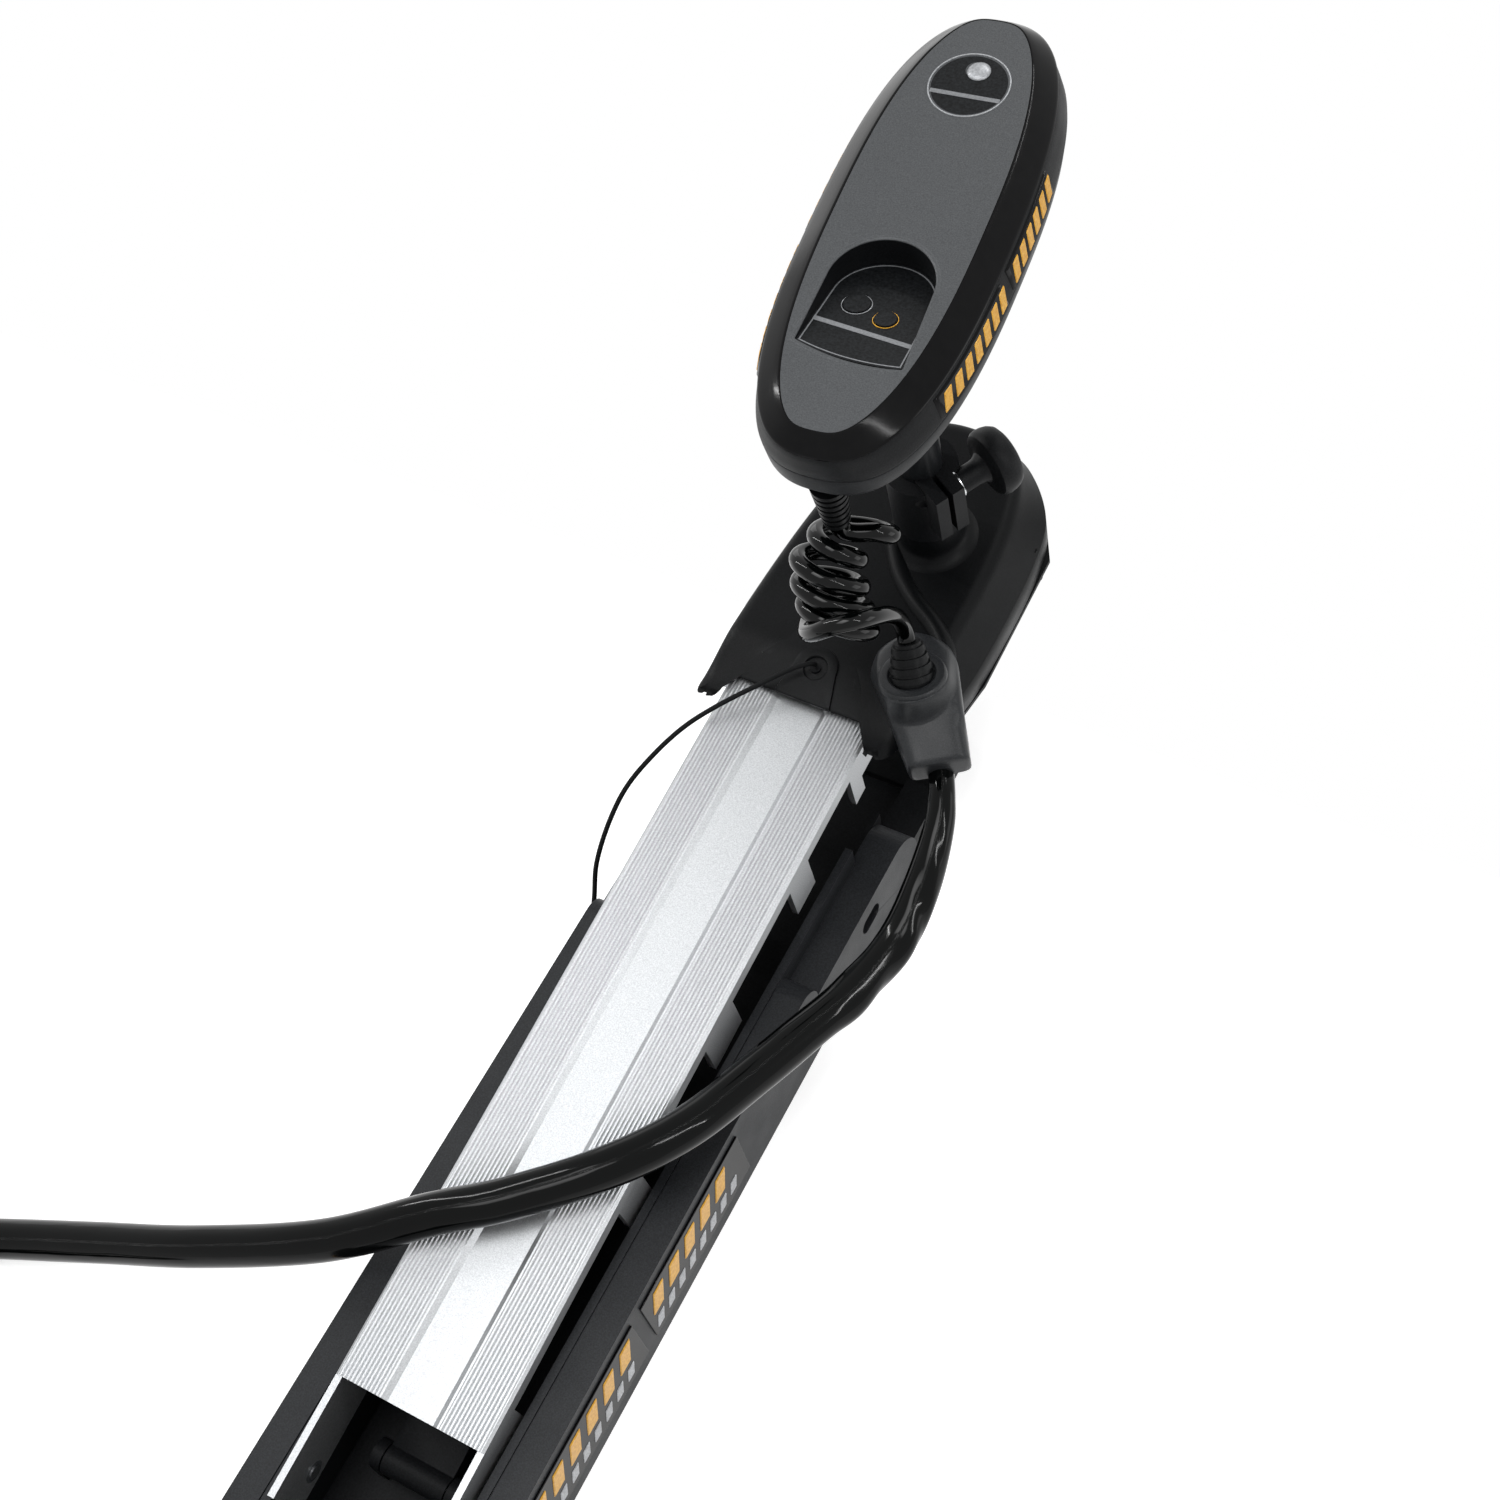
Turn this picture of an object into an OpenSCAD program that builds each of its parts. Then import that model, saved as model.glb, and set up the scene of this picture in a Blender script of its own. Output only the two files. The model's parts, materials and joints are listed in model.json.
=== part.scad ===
// Bow-mount electric trolling motor on a folding deck mount, in millimetres.
// X points to starboard, Y to the bow and Z up. The origin is the centre of the
// deck bolt pattern, on the deck. The motor is shown deployed.

/* [Deck base] */
// Length of the base channel
base_len = 1080; // [1060:10:1100]
// Wall thickness of the base channel
base_wall = 4; // [3:0.5:4.5]
// Floor thickness of the base channel
base_floor = 5; // [4:0.5:6]
// Distance from the origin aft to the end of the base
base_aft = 520; // [500:5:540]
// Height of the side plates
plate_h = 80; // [78:1:86]
// Height of the low front part of the side plates
plate_low_h = 60; // [54:1:64]
// Half width over the side plates at their top edge
plate_top_half = 91; // [88:1:93]
// Half width over the side plates at the deck
plate_foot_half = 95; // [94:1:100]
// Deck bolt spacing across the boat
bolt_dx = 80; // [70:1:90]
// Deck bolt spacing along the boat
bolt_dy = 880; // [840:10:900]
// Diameter of the deck bolt holes
bolt_hole_d = 7; // [6.5:0.1:9]

/* [Arms] */
// Width over the outer arm
arm_w = 117; // [115:0.5:118]
// Length of the ridged top of the outer arm, back to the housing pivot
arm_len = 566; // [560:1:572]
// Pitch of the deployed arm
arm_pitch = 4.9; // [4.4:0.1:5.2]
// Height of the arm's aft top edge above the deck
arm_top_z = 105; // [103:1:110]
// Thickness of the arm's top web
arm_web = 8; // [7:0.5:9]
// Thickness of the arm's side flanges
arm_flange_t = 5; // [4:0.5:6]
// Depth of the arm's side flanges
arm_flange_h = 52; // [50:1:54]
// Number of fine ridges in each ridged band
ridge_n = 11; // [8:1:13]
// Height of each ridge
ridge_h = 0.8; // [0.5:0.1:1]
// Width of the middle channel of the arm
channel_w = 44; // [38:1:48]
// Depth of the middle channel of the arm
channel_d = 4; // [2:0.5:5]
// Diameter of the pivot pins
pin_d = 10; // [8:0.5:11]
// Width of the inner arm
link_w = 50; // [40:1:54]
// Thickness of the inner arm
link_t = 14; // [11:0.5:15]

/* [Steering housing] */
// Offset of the motor shaft to starboard of the arm's middle
shaft_x = 34; // [32:1:36]
// Distance from the housing's pivot to the motor shaft
shaft_ahead = 158; // [156:1:162]
// Height of the housing's top over the arm's top
cowl_top = 14; // [12:0.5:16]
// Wall thickness of the housing
cowl_wall = 4; // [3:0.5:5]
// Diameter of the boss under the depth collar
boss_d = 48; // [47:0.5:52]
// Height of the boss above the housing's top
boss_h = 31; // [28:1:34]
// Number of teeth on the steering gear
gear_n = 48; // [48:4:52]
// Number of teeth on the steering pinion
pinion_n = 12; // [11:1:13]
// Module of the steering teeth
gear_m = 1.5; // [1.4:0.05:1.5]

/* [Shaft and collar] */
// Outer diameter of the motor shaft
shaft_d = 32; // [30:0.5:32]
// Wall thickness of the motor shaft
shaft_wall = 3; // [2:0.5:4]
// Depth of the motor's axis below the arm's top
pod_drop = 1000; // [960:10:1040]
// Height of the depth collar
collar_h = 60; // [56:1:64]
// Outer diameter of the depth collar
collar_d = 54; // [52:1:58]
// Diameter of the collar knob
knob_d = 52; // [46:1:54]
// Thickness of the collar knob
knob_t = 20; // [16:1:22]

/* [Control head] */
// Height of the head's rim above the arm's top
head_z = 283; // [275:1:290]
// Turn of the head to port at rest
head_yaw = 5.5; // [0:0.5:7]
// Rise of the head's top towards its front
head_tilt = 0; // [0:0.5:2]
// Radius of the head's back end
head_rear_r = 61; // [58:0.5:64]
// Radius of the head's widest part
head_mid_r = 69; // [67:0.5:72]
// Radius of the head's front end
head_front_r = 54.5; // [50:0.5:58]
// Depth of the upper shell below the rim
head_upper_h = 24; // [20:1:28]
// Depth of the whole head below the rim
head_depth = 58; // [54:1:62]
// Wall thickness of the head's shells
head_wall = 3; // [2.5:0.5:4]
// Travel of the head's buttons
button_travel = 1; // [0.6:0.1:1.2]

/* [Lower unit] */
// Diameter of the motor body
pod_d = 92; // [88:1:98]
// Length of the motor body
pod_len = 200; // [180:5:220]
// Wall thickness of the motor body
pod_wall = 4; // [3:0.5:5]
// Diameter of the propeller
prop_d = 270; // [240:5:290]
// Diameter of the propeller shaft
prop_shaft_d = 12; // [10:0.5:14]

/* [Cords] */
// Diameter of the power lead's sheath
lead_d = 30; // [24:1:31]
// Diameter of the coiled control cord
cord_d = 13; // [10:0.5:13]
// Mid-turn radius of the coiled control cord
curl_r = 23; // [22:0.5:24]
// Diameter of the pull cord
pull_d = 4; // [3:0.5:5]
// Outer mid-turn radius of the put-away power lead
coil_r = 176; // [172:1:180]
// Turns of the put-away power lead
coil_n = 1.1; // [1:0.05:1.15]

/* [Hidden] */
$fn = 48;

// Clearances: running fit on a radius, fixed fit on a radius, and free gap between bodies
run_gap = 0.05;
fix_gap = 0.02;
free_gap = 0.3;
// Thin slice that a hull spans to
skin = 0.01;
// Side play between the arm and the base walls
arm_play = 1.5;

// Base
inner_half = arm_w / 2 + arm_play;
base_half = inner_half + base_wall;
hook_t = 4;
wall_h = plate_h - hook_t - free_gap;
step_y = 352;
plate_front = 508;
rail_front = 460;
nose_h = 26;
nose_half = 88;
nose_gap = 2;
groove_x = base_half + 4;
rail_in = inner_half + 1.5;

// Arm frame: origin at the middle of the arm's aft top edge
arm_aft_y = -40;
pivot_back = 60;
pivot_drop = 40;
hinge_drop = 16;
hinge_r = hinge_drop;
pivot_y = arm_aft_y - pivot_back * cos(arm_pitch) + pivot_drop * sin(arm_pitch);
pivot_z = arm_top_z - pivot_back * sin(arm_pitch) - pivot_drop * cos(arm_pitch);
ear_back = pivot_back + 25;
bush_t = 3;
bush_d = pin_d + 2 * bush_t;

// Inner arm: pivot on the base and the end at the housing, at rest
link_y = pivot_y + 33;
link_z = pivot_z - 32;
end_y = arm_len + 34;
end_drop = 62;
end_Y = arm_aft_y + end_y * cos(arm_pitch) + end_drop * sin(arm_pitch);
end_Z = arm_top_z + end_y * sin(arm_pitch) - end_drop * cos(arm_pitch);
link_len = norm([end_Y - link_y, end_Z - link_z]);
link_pitch = atan2(end_Z - link_z, end_Y - link_y);
lug_t = 8;
lug_in = link_w / 2 + 1;

// Housing, in the arm frame: its outlines and fixings are placed from its pivot at the arm's end
function from_pivot(points) = [for (p = points) [p[0], arm_len + p[1]]];
shaft_y = arm_len + shaft_ahead;
cowl_mid = -18;
cowl_low = -46;
floor_t = 4;
lip_y = arm_len - 8;
ear_y0 = arm_len - 29;
ear_y1 = arm_len + 46;
ear_in = inner_half;
ear_out = 77;
ear_low = -26;
low_outline = from_pivot([[-78, 46], [-76, 134], [-58, 234], [-20, 270], [50, 270], [86, 240], [106, 203],
  [106, 84], [100, 46]]);
top_outline = from_pivot([[-77, -29], [-70, 84], [-62, 155], [-45, 229], [-8, 258], [44, 258], [74, 234],
  [86, 169], [86, 74], [78, -29]]);

// Shaft, sleeve and bushes
shaft_r = shaft_d / 2;
sleeve_in = shaft_r + run_gap;
sleeve_r = sleeve_in + 3;
bush_in = sleeve_r + run_gap;
bush_r = bush_in + 2;
boss_top = cowl_top + boss_h;
sleeve_low = cowl_low - floor_t - 6;
gear_z = -40;
gear_t = 10;
gear_r = gear_m * gear_n / 2;
pinion_r = gear_m * pinion_n / 2;
mesh_dist = gear_r + pinion_r + 0.25;
motor_r = 17;

// Collar: the ears point away from the shaft, and the knob's screw crosses them
collar_z = boss_top + free_gap;
collar_turn = -36;
ear_t = 10;
slit_w = 4;
collar_reach = 11;
clamp_low = 18;
clamp_over = 4;
knob_stem = 27;
knob_stem_r = 9.5;
screw_r = 4;

// Head, in the head frame
head_shift = -10;
rear_y = -63;
mid_y = 62;
front_y = 195;
chamfer_w = 14;
chamfer_h = 12;
head_foot_in = 12;
plate_t = 2;
panel_y = -28;
panel_t = 5;
panel_rise = 10.6;
panel_slope = 14;
badge_y = 178;
badge_r = 28.5;
big_button = [-13.5, -2.5];
small_button = [9.9, -11.6];
big_r = 9.5;
small_r = 7.8;
button_gap = 0.2;
button_body = 4.6;
button_sill = 0.2;
fore_slope = asin((head_mid_r - head_front_r) / (front_y - mid_y));
aft_slope = asin((head_mid_r - head_rear_r) / (mid_y - rear_y));
relief_y = -104;
relief_x = -3.5;
roof_drop = 4;
board_z = -22;
board_post = [[-34, -40], [34, -40], [-34, 60], [34, 60]];

// Lower unit, in the pod frame: the motor's axis runs along Y
pod_r = pod_d / 2;
pod_back = -pod_len * 0.45;
pod_fore = pod_back + pod_len;
nose_len = 62;
tail_len = 46;
tail_r = 30;
hub_len = 44;
hub_r = 28;
blade_t = 7;

// Cord routes
relief_len = 45;
relief_r = 13;
relief_slim = 3.7;
relief_ribs = 7;
block_at = [81.5, arm_len + 29.5, 40];
block_tilt = 40;
block_az = 122;
block_relief_len = 27;
block_relief_r = 17;
block_relief_slim = 6;
block_ribs = 4;
rib_run = [[0, 0], [0.62, 0], [0.62, 1], [1, 1]];
rib_cut = 1.5;
block_origin = [88, arm_len + 34];
block_turn = 26;
lip_back = 58;
function arm_to_base(p) = [p[0], arm_aft_y + p[1] * cos(arm_pitch) - p[2] * sin(arm_pitch),
  arm_top_z + p[1] * sin(arm_pitch) + p[2] * cos(arm_pitch)];
function block_to_arm(p) = [block_origin[0] + p[0] * cos(block_turn) - p[1] * sin(block_turn),
  block_origin[1] + p[0] * sin(block_turn) + p[1] * cos(block_turn), p[2]];
lead_gap = 0.8;
lead_start_gap = 0.95;
cord_stub = 1.5;
coil_at = [-472, -285];
coil_start = 109.4;
coil_step = 52;
function lead_turn(t) = let (r = coil_r - coil_step * coil_n * t, a = coil_start + 360 * coil_n * t)
  [coil_at[0] + r * cos(a), coil_at[1] + r * sin(a), 15.2];
lead_from = arm_to_base(block_to_arm([8, -lip_back - lead_start_gap, -4]));
lead_next = arm_to_base(block_to_arm([8, -lip_back - 18, -4]));
lead_end = lead_turn(0) + lead_gap * unit(lead_turn(0) - lead_turn(0.01));
lead_pts = concat([lead_from, lead_next],
  [[135, 474, 139], [139, 436, 121], [138, 396, 108], [128, 350, 104], [116, 318, 106], [98, 262, 116],
    [78, 200, 132], [46, 150, 141], [-4, 104, 138], [-46, 74, 134], [-112, 30, 114], [-206, -8, 82],
    [-290, -34, 52], [-375, -62, 27], [-450, -92, 16]],
  [lead_end]);
pull_pts = [[3, 545.2, 172], [1, 541, 178], [-9, 532, 178], [-27, 516, 170], [-52, 491, 160],
  [-71, 470, 149], [-86, 446, 136], [-98, 421, 120], [-104, 397, 100], [-106, 373, 76], [-104, 356, 50],
  [-102.5, 338, 24], [-102, 318, 9], [-102, 298, 6]];
plug_r = 18;
plug_len = 42;
grip_len = 56;

// Frames
module arm_frame() translate([0, arm_aft_y, arm_top_z]) rotate([arm_pitch, 0, 0]) children();
module shaft_frame() arm_frame() translate([shaft_x, shaft_y, 0]) children();
module turned_frame() shaft_frame() rotate([0, 0, head_yaw]) children();
module head_frame() turned_frame() translate([head_shift, 0, head_z]) rotate([head_tilt, 0, 0]) children();
module pod_frame() turned_frame() translate([0, 0, -pod_drop]) children();
module link_frame() translate([0, link_y, link_z]) rotate([link_pitch, 0, 0]) children();
module collar_frame() turned_frame() rotate([0, 0, collar_turn]) children();
module block_axis() arm_frame() translate(block_at) rotate([0, block_tilt, block_az]) children();

// Small shapes
module x_rod(d, x0, x1) translate([x0, 0, 0]) rotate([0, 90, 0]) cylinder(d = d, h = x1 - x0);
module y_rod(d, y0, y1) translate([0, y0, 0]) rotate([-90, 0, 0]) cylinder(d = d, h = y1 - y0);
module along_y(y0, y1) translate([0, y1, 0]) rotate([90, 0, 0]) linear_extrude(y1 - y0) children();
module along_x(x0, x1) translate([x0, 0, 0]) rotate([90, 0, 90]) linear_extrude(x1 - x0) children();
module both_sides() for (s = [0, 1]) mirror([s, 0, 0]) children();

// Tubes swept along points: each ring is turned as little as it can be
function unit(v) = v / norm(v);
function tangent(p, i) = unit(p[min(i + 1, len(p) - 1)] - p[max(i - 1, 0)]);
function settle(n, t) = unit(n - (n * t) * t);
function normals(p, n, i = 0) = i == len(p) ? [] :
  let (m = settle(n, tangent(p, i))) concat([m], normals(p, m, i + 1));
function ring(c, t, n, r, k) = [for (j = [0:k - 1]) c + r * (cos(360 * j / k) * n + sin(360 * j / k)
  * cross(t, n))];
module tube(p, d, k, n) {
  up = normals(p, n);
  last = len(p) - 1;
  points = [for (i = [0:last]) each ring(p[i], tangent(p, i), up[i], d / 2, k)];
  sides = [for (i = [0:last - 1], j = [0:k - 1]) let (a = i * k + j, b = i * k + (j + 1) % k)
    each [[a, b, a + k], [b, b + k, a + k]]];
  start = [for (j = [1:k - 2]) [0, j + 1, j]];
  finish = [for (j = [1:k - 2]) [last * k, last * k + j, last * k + j + 1]];
  polyhedron(points, concat(sides, start, finish));
}
// Smooth curve through the points of a route, with m steps between two of them
function bend(p, i, t) = let (a = p[max(i - 1, 0)], b = p[i], c = p[i + 1], d = p[min(i + 2, len(p) - 1)])
  0.5 * (2 * b + (c - a) * t + (2 * a - 5 * b + 4 * c - d) * t * t + (3 * b - a - 3 * c + d) * t * t * t);
function smooth(p, m) = concat([for (i = [0:len(p) - 2], s = [0:m - 1]) bend(p, i, s / m)], [p[len(p)
  - 1]]);
function bezier(a, b, c, d, t) = pow(1 - t, 3) * a + 3 * pow(1 - t, 2) * t * b + 3 * (1 - t)
  * t * t * c + t * t * t * d;

// Base channel with its deck holes, pivot holes and the lugs of the inner arm
module base_channel() color("#1d1e20") difference() {
  union() {
    translate([-base_half, -base_aft, 0]) cube([2 * base_half, base_len, base_floor]);
    both_sides() translate([inner_half, -base_aft, 0]) cube([base_wall, base_len, wall_h]);
    both_sides() translate([inner_half, plate_front + nose_gap, 0])
      cube([nose_half - inner_half, base_len - base_aft - plate_front - nose_gap, nose_h]);
    both_sides() translate([lug_in, link_y - 11, 0]) cube([lug_t, 22, link_z]);
    both_sides() translate([0, link_y, link_z]) x_rod(22, lug_in, lug_in + lug_t);
  }
  translate([-base_half - 1, rail_front, plate_low_h - hook_t]) cube([2 * base_half + 2, base_len,
    plate_h]);
  translate([-base_half - 1, plate_front, nose_h]) cube([2 * base_half + 2, base_len, plate_h]);
  for (x = [-1, 1], y = [-1, 1]) translate([x * bolt_dx / 2, y * bolt_dy / 2, -1])
    cylinder(d = bolt_hole_d, h = base_floor + 2);
  translate([0, pivot_y, pivot_z]) x_rod(pin_d + 2 * fix_gap, -base_half - 1, base_half + 1);
  translate([0, link_y, link_z]) x_rod(pin_d + 2 * fix_gap, -lug_in - lug_t - 1, lug_in + lug_t + 1);
  for (p = screw_places) translate([0, p[0], p[1]]) x_rod(plate_screw_d + 2 * run_gap, -base_half - 1,
    base_half + 1);
}

// Side plates: a hooked rail on the channel wall and a moulded outer flank
screw_places = [[184, 44], [432, 40], [-300, 44]];
plate_screw_d = 6;
slot_depth = 10;
module plate_section() polygon([[base_half + free_gap, 0], [base_half + free_gap, plate_h],
  [groove_x - 0.6, plate_h],
  [groove_x - 0.6, plate_h - 1.5], [groove_x + 0.6, plate_h - 1.5], [groove_x + 0.6, plate_h],
    [plate_top_half, plate_h],
  [plate_foot_half, 0]]);
module plate_profile() difference() {
  union() {
    translate([-base_aft, 0]) square([base_aft + plate_front - 28, plate_low_h]);
    translate([plate_front - 28, 0]) square([28, plate_low_h - 28]);
    translate([plate_front - 28, plate_low_h - 28]) circle(r = 28);
    translate([-base_aft, 0]) square([base_aft + step_y - 18, plate_h]);
    translate([step_y - 18, 0]) square([18, plate_h - 18]);
    translate([step_y - 18, plate_h - 18]) circle(r = 18);
  }
  translate([-base_aft - 50, -100]) square([base_aft + plate_front + 100, 100]);
}
module side_plate() difference() {
  union() {
    intersection() {
      along_y(-base_aft, plate_front) plate_section();
      along_x(base_half + free_gap, plate_foot_half + 1) plate_profile();
    }
    translate([rail_in, -base_aft, plate_h - hook_t]) cube([groove_x - 0.6 - rail_in,
      base_aft + rail_front, hook_t]);
    translate([base_half + free_gap, -base_aft, 0]) cube([3.2, base_aft + rail_front, plate_h]);
  }
  for (p = screw_places) translate([0, p[0], p[1]]) {
    x_rod(plate_screw_d + 2 * run_gap, base_half - 1, plate_foot_half + 1);
    for (dy = [-6, 6]) translate([0, dy, 0]) x_rod(14, plate_top_half - slot_depth, plate_foot_half + 1);
    translate([plate_top_half - slot_depth, -6, -7]) cube([slot_depth + 10, 12, 14]);
  }
}
module side_plate_right() color("#2b2d2f") side_plate();
module side_plate_left() color("#2b2d2f") mirror([1, 0, 0]) side_plate();

// Screws that hold the side plates to the channel, with their heads in the slots
module plate_screws() color("#77797c") both_sides() for (p = screw_places) translate([0, p[0], p[1]]) {
  x_rod(plate_screw_d, inner_half + 0.2, plate_top_half - slot_depth);
  x_rod(11, plate_top_half - slot_depth, plate_top_half - slot_depth + 4);
}

// Plain accent stripes on raised backs, on the outer flanks
flank_lean = atan2(plate_foot_half - plate_top_half, plate_h);
stripe_runs = [[92, 228], [-130, 80]];
back_t = 1.6;
back_foot = 16;
back_h = 54;
stripe_t = 0.8;
stripe_foot = 42;
stripe_h = 22;
stripe_end = 4;
module on_flank() both_sides() translate([plate_foot_half, 0, 0]) rotate([0, -flank_lean, 0]) children();
module plate_stripe_backs() color("#111213") on_flank() for (r = stripe_runs)
  translate([0, r[0], back_foot]) cube([back_t, r[1] - r[0], back_h]);
module plate_gold_stripes() color("#e0a325") on_flank() for (r = stripe_runs)
  translate([back_t, r[0] + stripe_end, stripe_foot])
    cube([stripe_t, r[1] - r[0] - 2 * stripe_end, stripe_h]);

// Stow rest behind the arm: a bracket on the floor that carries a rubber roller
rest_back = 92;
rest_y = pivot_y - rest_back;
rest_z = 23.5;
roller_r = 11;
rest_ear_r = 10;
module rest_bracket() color("#17181a") difference() {
  union() {
    translate([-48, rest_y - 40, base_floor]) cube([96, 80, 6]);
    both_sides() translate([34, rest_y - rest_ear_r, base_floor]) cube([8, 2 * rest_ear_r,
      rest_z - base_floor]);
    both_sides() translate([0, rest_y, rest_z]) x_rod(2 * rest_ear_r, 34, 42);
  }
  translate([0, rest_y, rest_z]) x_rod(10 + 2 * run_gap, -50, 50);
}
module rest_roller() color("#0e0f10") translate([0, rest_y, rest_z]) {
  x_rod(2 * roller_r, -33, 33);
  x_rod(10, -41, 41);
}

// Stub pins of the outer arm and the cross pin of the inner arm
module arm_pivot_pins() color("#8d9094") translate([0, pivot_y, pivot_z]) both_sides()
  x_rod(pin_d, arm_w / 2 - arm_flange_t - 1, base_half - 0.2);
module link_pin() color("#8d9094") translate([0, link_y, link_z]) x_rod(pin_d, -lug_in - lug_t,
  lug_in + lug_t);

// Outer arm: ridged top, middle channel, notched flanges and pivot ears
band_w = (arm_w - channel_w) / 2 - 4;
ridge_p = band_w / ridge_n;
notch_runs = [[33, 175], [205, 300], [340, 429], [arm_len - 109, arm_len - 41]];
notch_top = 14;
function ridges(x0) = [for (i = [0:ridge_n - 1], q = [[0, -1], [0.3, 0], [0.7, 0], [1, -1]])
  [x0 + (i + q[0]) * ridge_p, q[1] * ridge_h]];
module arm_section() polygon(concat(
  [[-arm_w / 2, -arm_flange_h], [-arm_w / 2, -2.5], [-arm_w / 2 + 2, -ridge_h]],
  ridges(-arm_w / 2 + 2.5),
  [[-channel_w / 2, -ridge_h], [-channel_w / 2 + 4, -channel_d], [channel_w / 2 - 4, -channel_d],
    [channel_w / 2, -ridge_h]],
  ridges(arm_w / 2 - 2.5 - band_w),
  [[arm_w / 2 - 2, -ridge_h], [arm_w / 2, -2.5], [arm_w / 2, -arm_flange_h], [arm_w / 2 - arm_flange_t,
    -arm_flange_h],
    [arm_w / 2 - arm_flange_t, -arm_web], [-arm_w / 2 + arm_flange_t, -arm_web],
    [-arm_w / 2 + arm_flange_t, -arm_flange_h]]));
module outer_arm() color("#d6d8da") arm_frame() difference() {
  union() {
    along_y(0, arm_len) arm_section();
    both_sides() translate([arm_w / 2 - arm_flange_t, -ear_back, -arm_flange_h])
      cube([arm_flange_t, ear_back + 1, arm_flange_h - 2.5]);
    both_sides() translate([0, arm_len, -hinge_drop]) x_rod(2 * hinge_r, arm_w / 2 - arm_flange_t,
      arm_w / 2);
  }
  for (r = notch_runs) translate([-arm_w, r[0], -arm_flange_h - 1])
    cube([2 * arm_w, r[1] - r[0], arm_flange_h + 1 - notch_top]);
  translate([-arm_w, arm_len - 26, -arm_flange_h - 1]) cube([2 * arm_w, 60,
    arm_flange_h + 1 - 2 * hinge_drop]);
  translate([0, -pivot_back, -pivot_drop]) x_rod(bush_d + 2 * fix_gap, -arm_w, arm_w);
  translate([0, arm_len, -hinge_drop]) x_rod(bush_d + 2 * fix_gap, -arm_w, arm_w);
}
module arm_bushes() color("#3a3c3e") arm_frame() both_sides()
  for (p = [[-pivot_back, -pivot_drop], [arm_len, -hinge_drop]]) translate([0, p[0], p[1]]) difference() {
    x_rod(bush_d, arm_w / 2 - arm_flange_t, arm_w / 2 + 0.8);
    x_rod(pin_d + 2 * run_gap, 0, arm_w);
  }

// Inner arm that keeps the housing level, with the pin at its free end
link_rail = 8;
link_end = 40;
module inner_arm() color("#1b1c1e") link_frame() difference() {
  union() {
    translate([-link_w / 2, 0, -link_t / 2]) cube([link_w, link_len, link_t]);
    x_rod(22, -link_w / 2, link_w / 2);
    translate([0, link_len, 0]) x_rod(20, -link_w / 2, link_w / 2);
  }
  translate([-link_w / 2 + link_rail, link_end, -link_t])
    cube([link_w - 2 * link_rail, link_len - 2 * link_end, 2 * link_t]);
  x_rod(pin_d + 2 * run_gap, -link_w, link_w);
  translate([0, link_len, 0]) x_rod(pin_d + 2 * fix_gap, -link_w, link_w);
}
module link_end_pin() color("#8d9094") link_frame() translate([0, link_len, 0])
  x_rod(pin_d, -link_w / 2 - 9, link_w / 2 + 9);

// Housing: lower body, cover and floor plate
module cowl(grow, z0, z1) hull() {
  translate([0, 0, z0]) linear_extrude(skin) offset(delta = grow) polygon(low_outline);
  translate([0, 0, z1 - skin]) linear_extrude(skin) offset(delta = grow) polygon(top_outline);
}
module pinion_place() translate([shaft_x - mesh_dist, shaft_y, 0]) children();
screw_spots = from_pivot([[-69, 74], [-55, 204], [101, 189], [98, 74]]);
module housing_body() color("#1a1b1d") arm_frame() difference() {
  union() {
    difference() {
      translate([0, 0, cowl_low]) linear_extrude(cowl_mid - cowl_low - free_gap) polygon(low_outline);
      translate([0, 0, cowl_low - 1]) linear_extrude(100) offset(delta = -cowl_wall) polygon(low_outline);
    }
    for (p = screw_spots) translate([p[0], p[1], cowl_low]) cylinder(d = 11,
      h = cowl_mid - cowl_low - free_gap);
  }
  for (p = screw_spots) translate([p[0], p[1], cowl_low - 1]) cylinder(d = 5, h = 100);
}
module housing_cover() color("#232527") arm_frame() difference() {
  union() {
    difference() {
      cowl(0, cowl_mid, cowl_top);
      cowl(-cowl_wall, cowl_mid - 0.5, cowl_top - cowl_wall);
    }
    intersection() {
      cowl(0, cowl_mid, cowl_top);
      for (p = screw_spots) translate([p[0], p[1], cowl_mid]) cylinder(d = 11, h = 14);
    }
    both_sides() translate([ear_in, ear_y0, ear_low]) cube([ear_out - ear_in, ear_y1 - ear_y0,
      cowl_top - ear_low]);
    translate([shaft_x, shaft_y, cowl_top - cowl_wall]) cylinder(d = boss_d, h = boss_h + cowl_wall);
    translate([shaft_x, shaft_y, cowl_top - 0.1]) cylinder(d1 = boss_d + 14, d2 = boss_d, h = 7);
    translate([pull_x, pull_y, latch_low + 12]) cylinder(d = 16, h = cowl_top - cowl_wall - latch_low - 11);
    translate([pull_x - 3, pull_y, cowl_mid]) cube([6, 40, cowl_top - cowl_wall - cowl_mid + 1]);
  }
  translate([shaft_x, shaft_y, cowl_mid - 30]) cylinder(r = bush_r + fix_gap, h = 200);
  translate([0, arm_len, -hinge_drop]) x_rod(2 * hinge_r + 3, -ear_in, ear_in);
  translate([0, arm_len, -hinge_drop]) x_rod(pin_d + 2 * fix_gap, -ear_out - 1, ear_out + 1);
  translate([-ear_in, ear_y0 - 1, -60]) cube([2 * ear_in, lip_y - ear_y0 + 1, 100]);
  translate([-ear_in, lip_y - 1, -60]) cube([2 * ear_in, arm_len - lip_y + 1, 60 + 2]);
  translate([pull_x, pull_y, -80]) cylinder(d = latch_d + 2 * run_gap, h = 200);
  for (p = screw_spots) translate([p[0], p[1], cowl_mid - 1]) cylinder(d = 4.4, h = 12);
}
hook_back = 16;
hook_front = 7;
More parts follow.
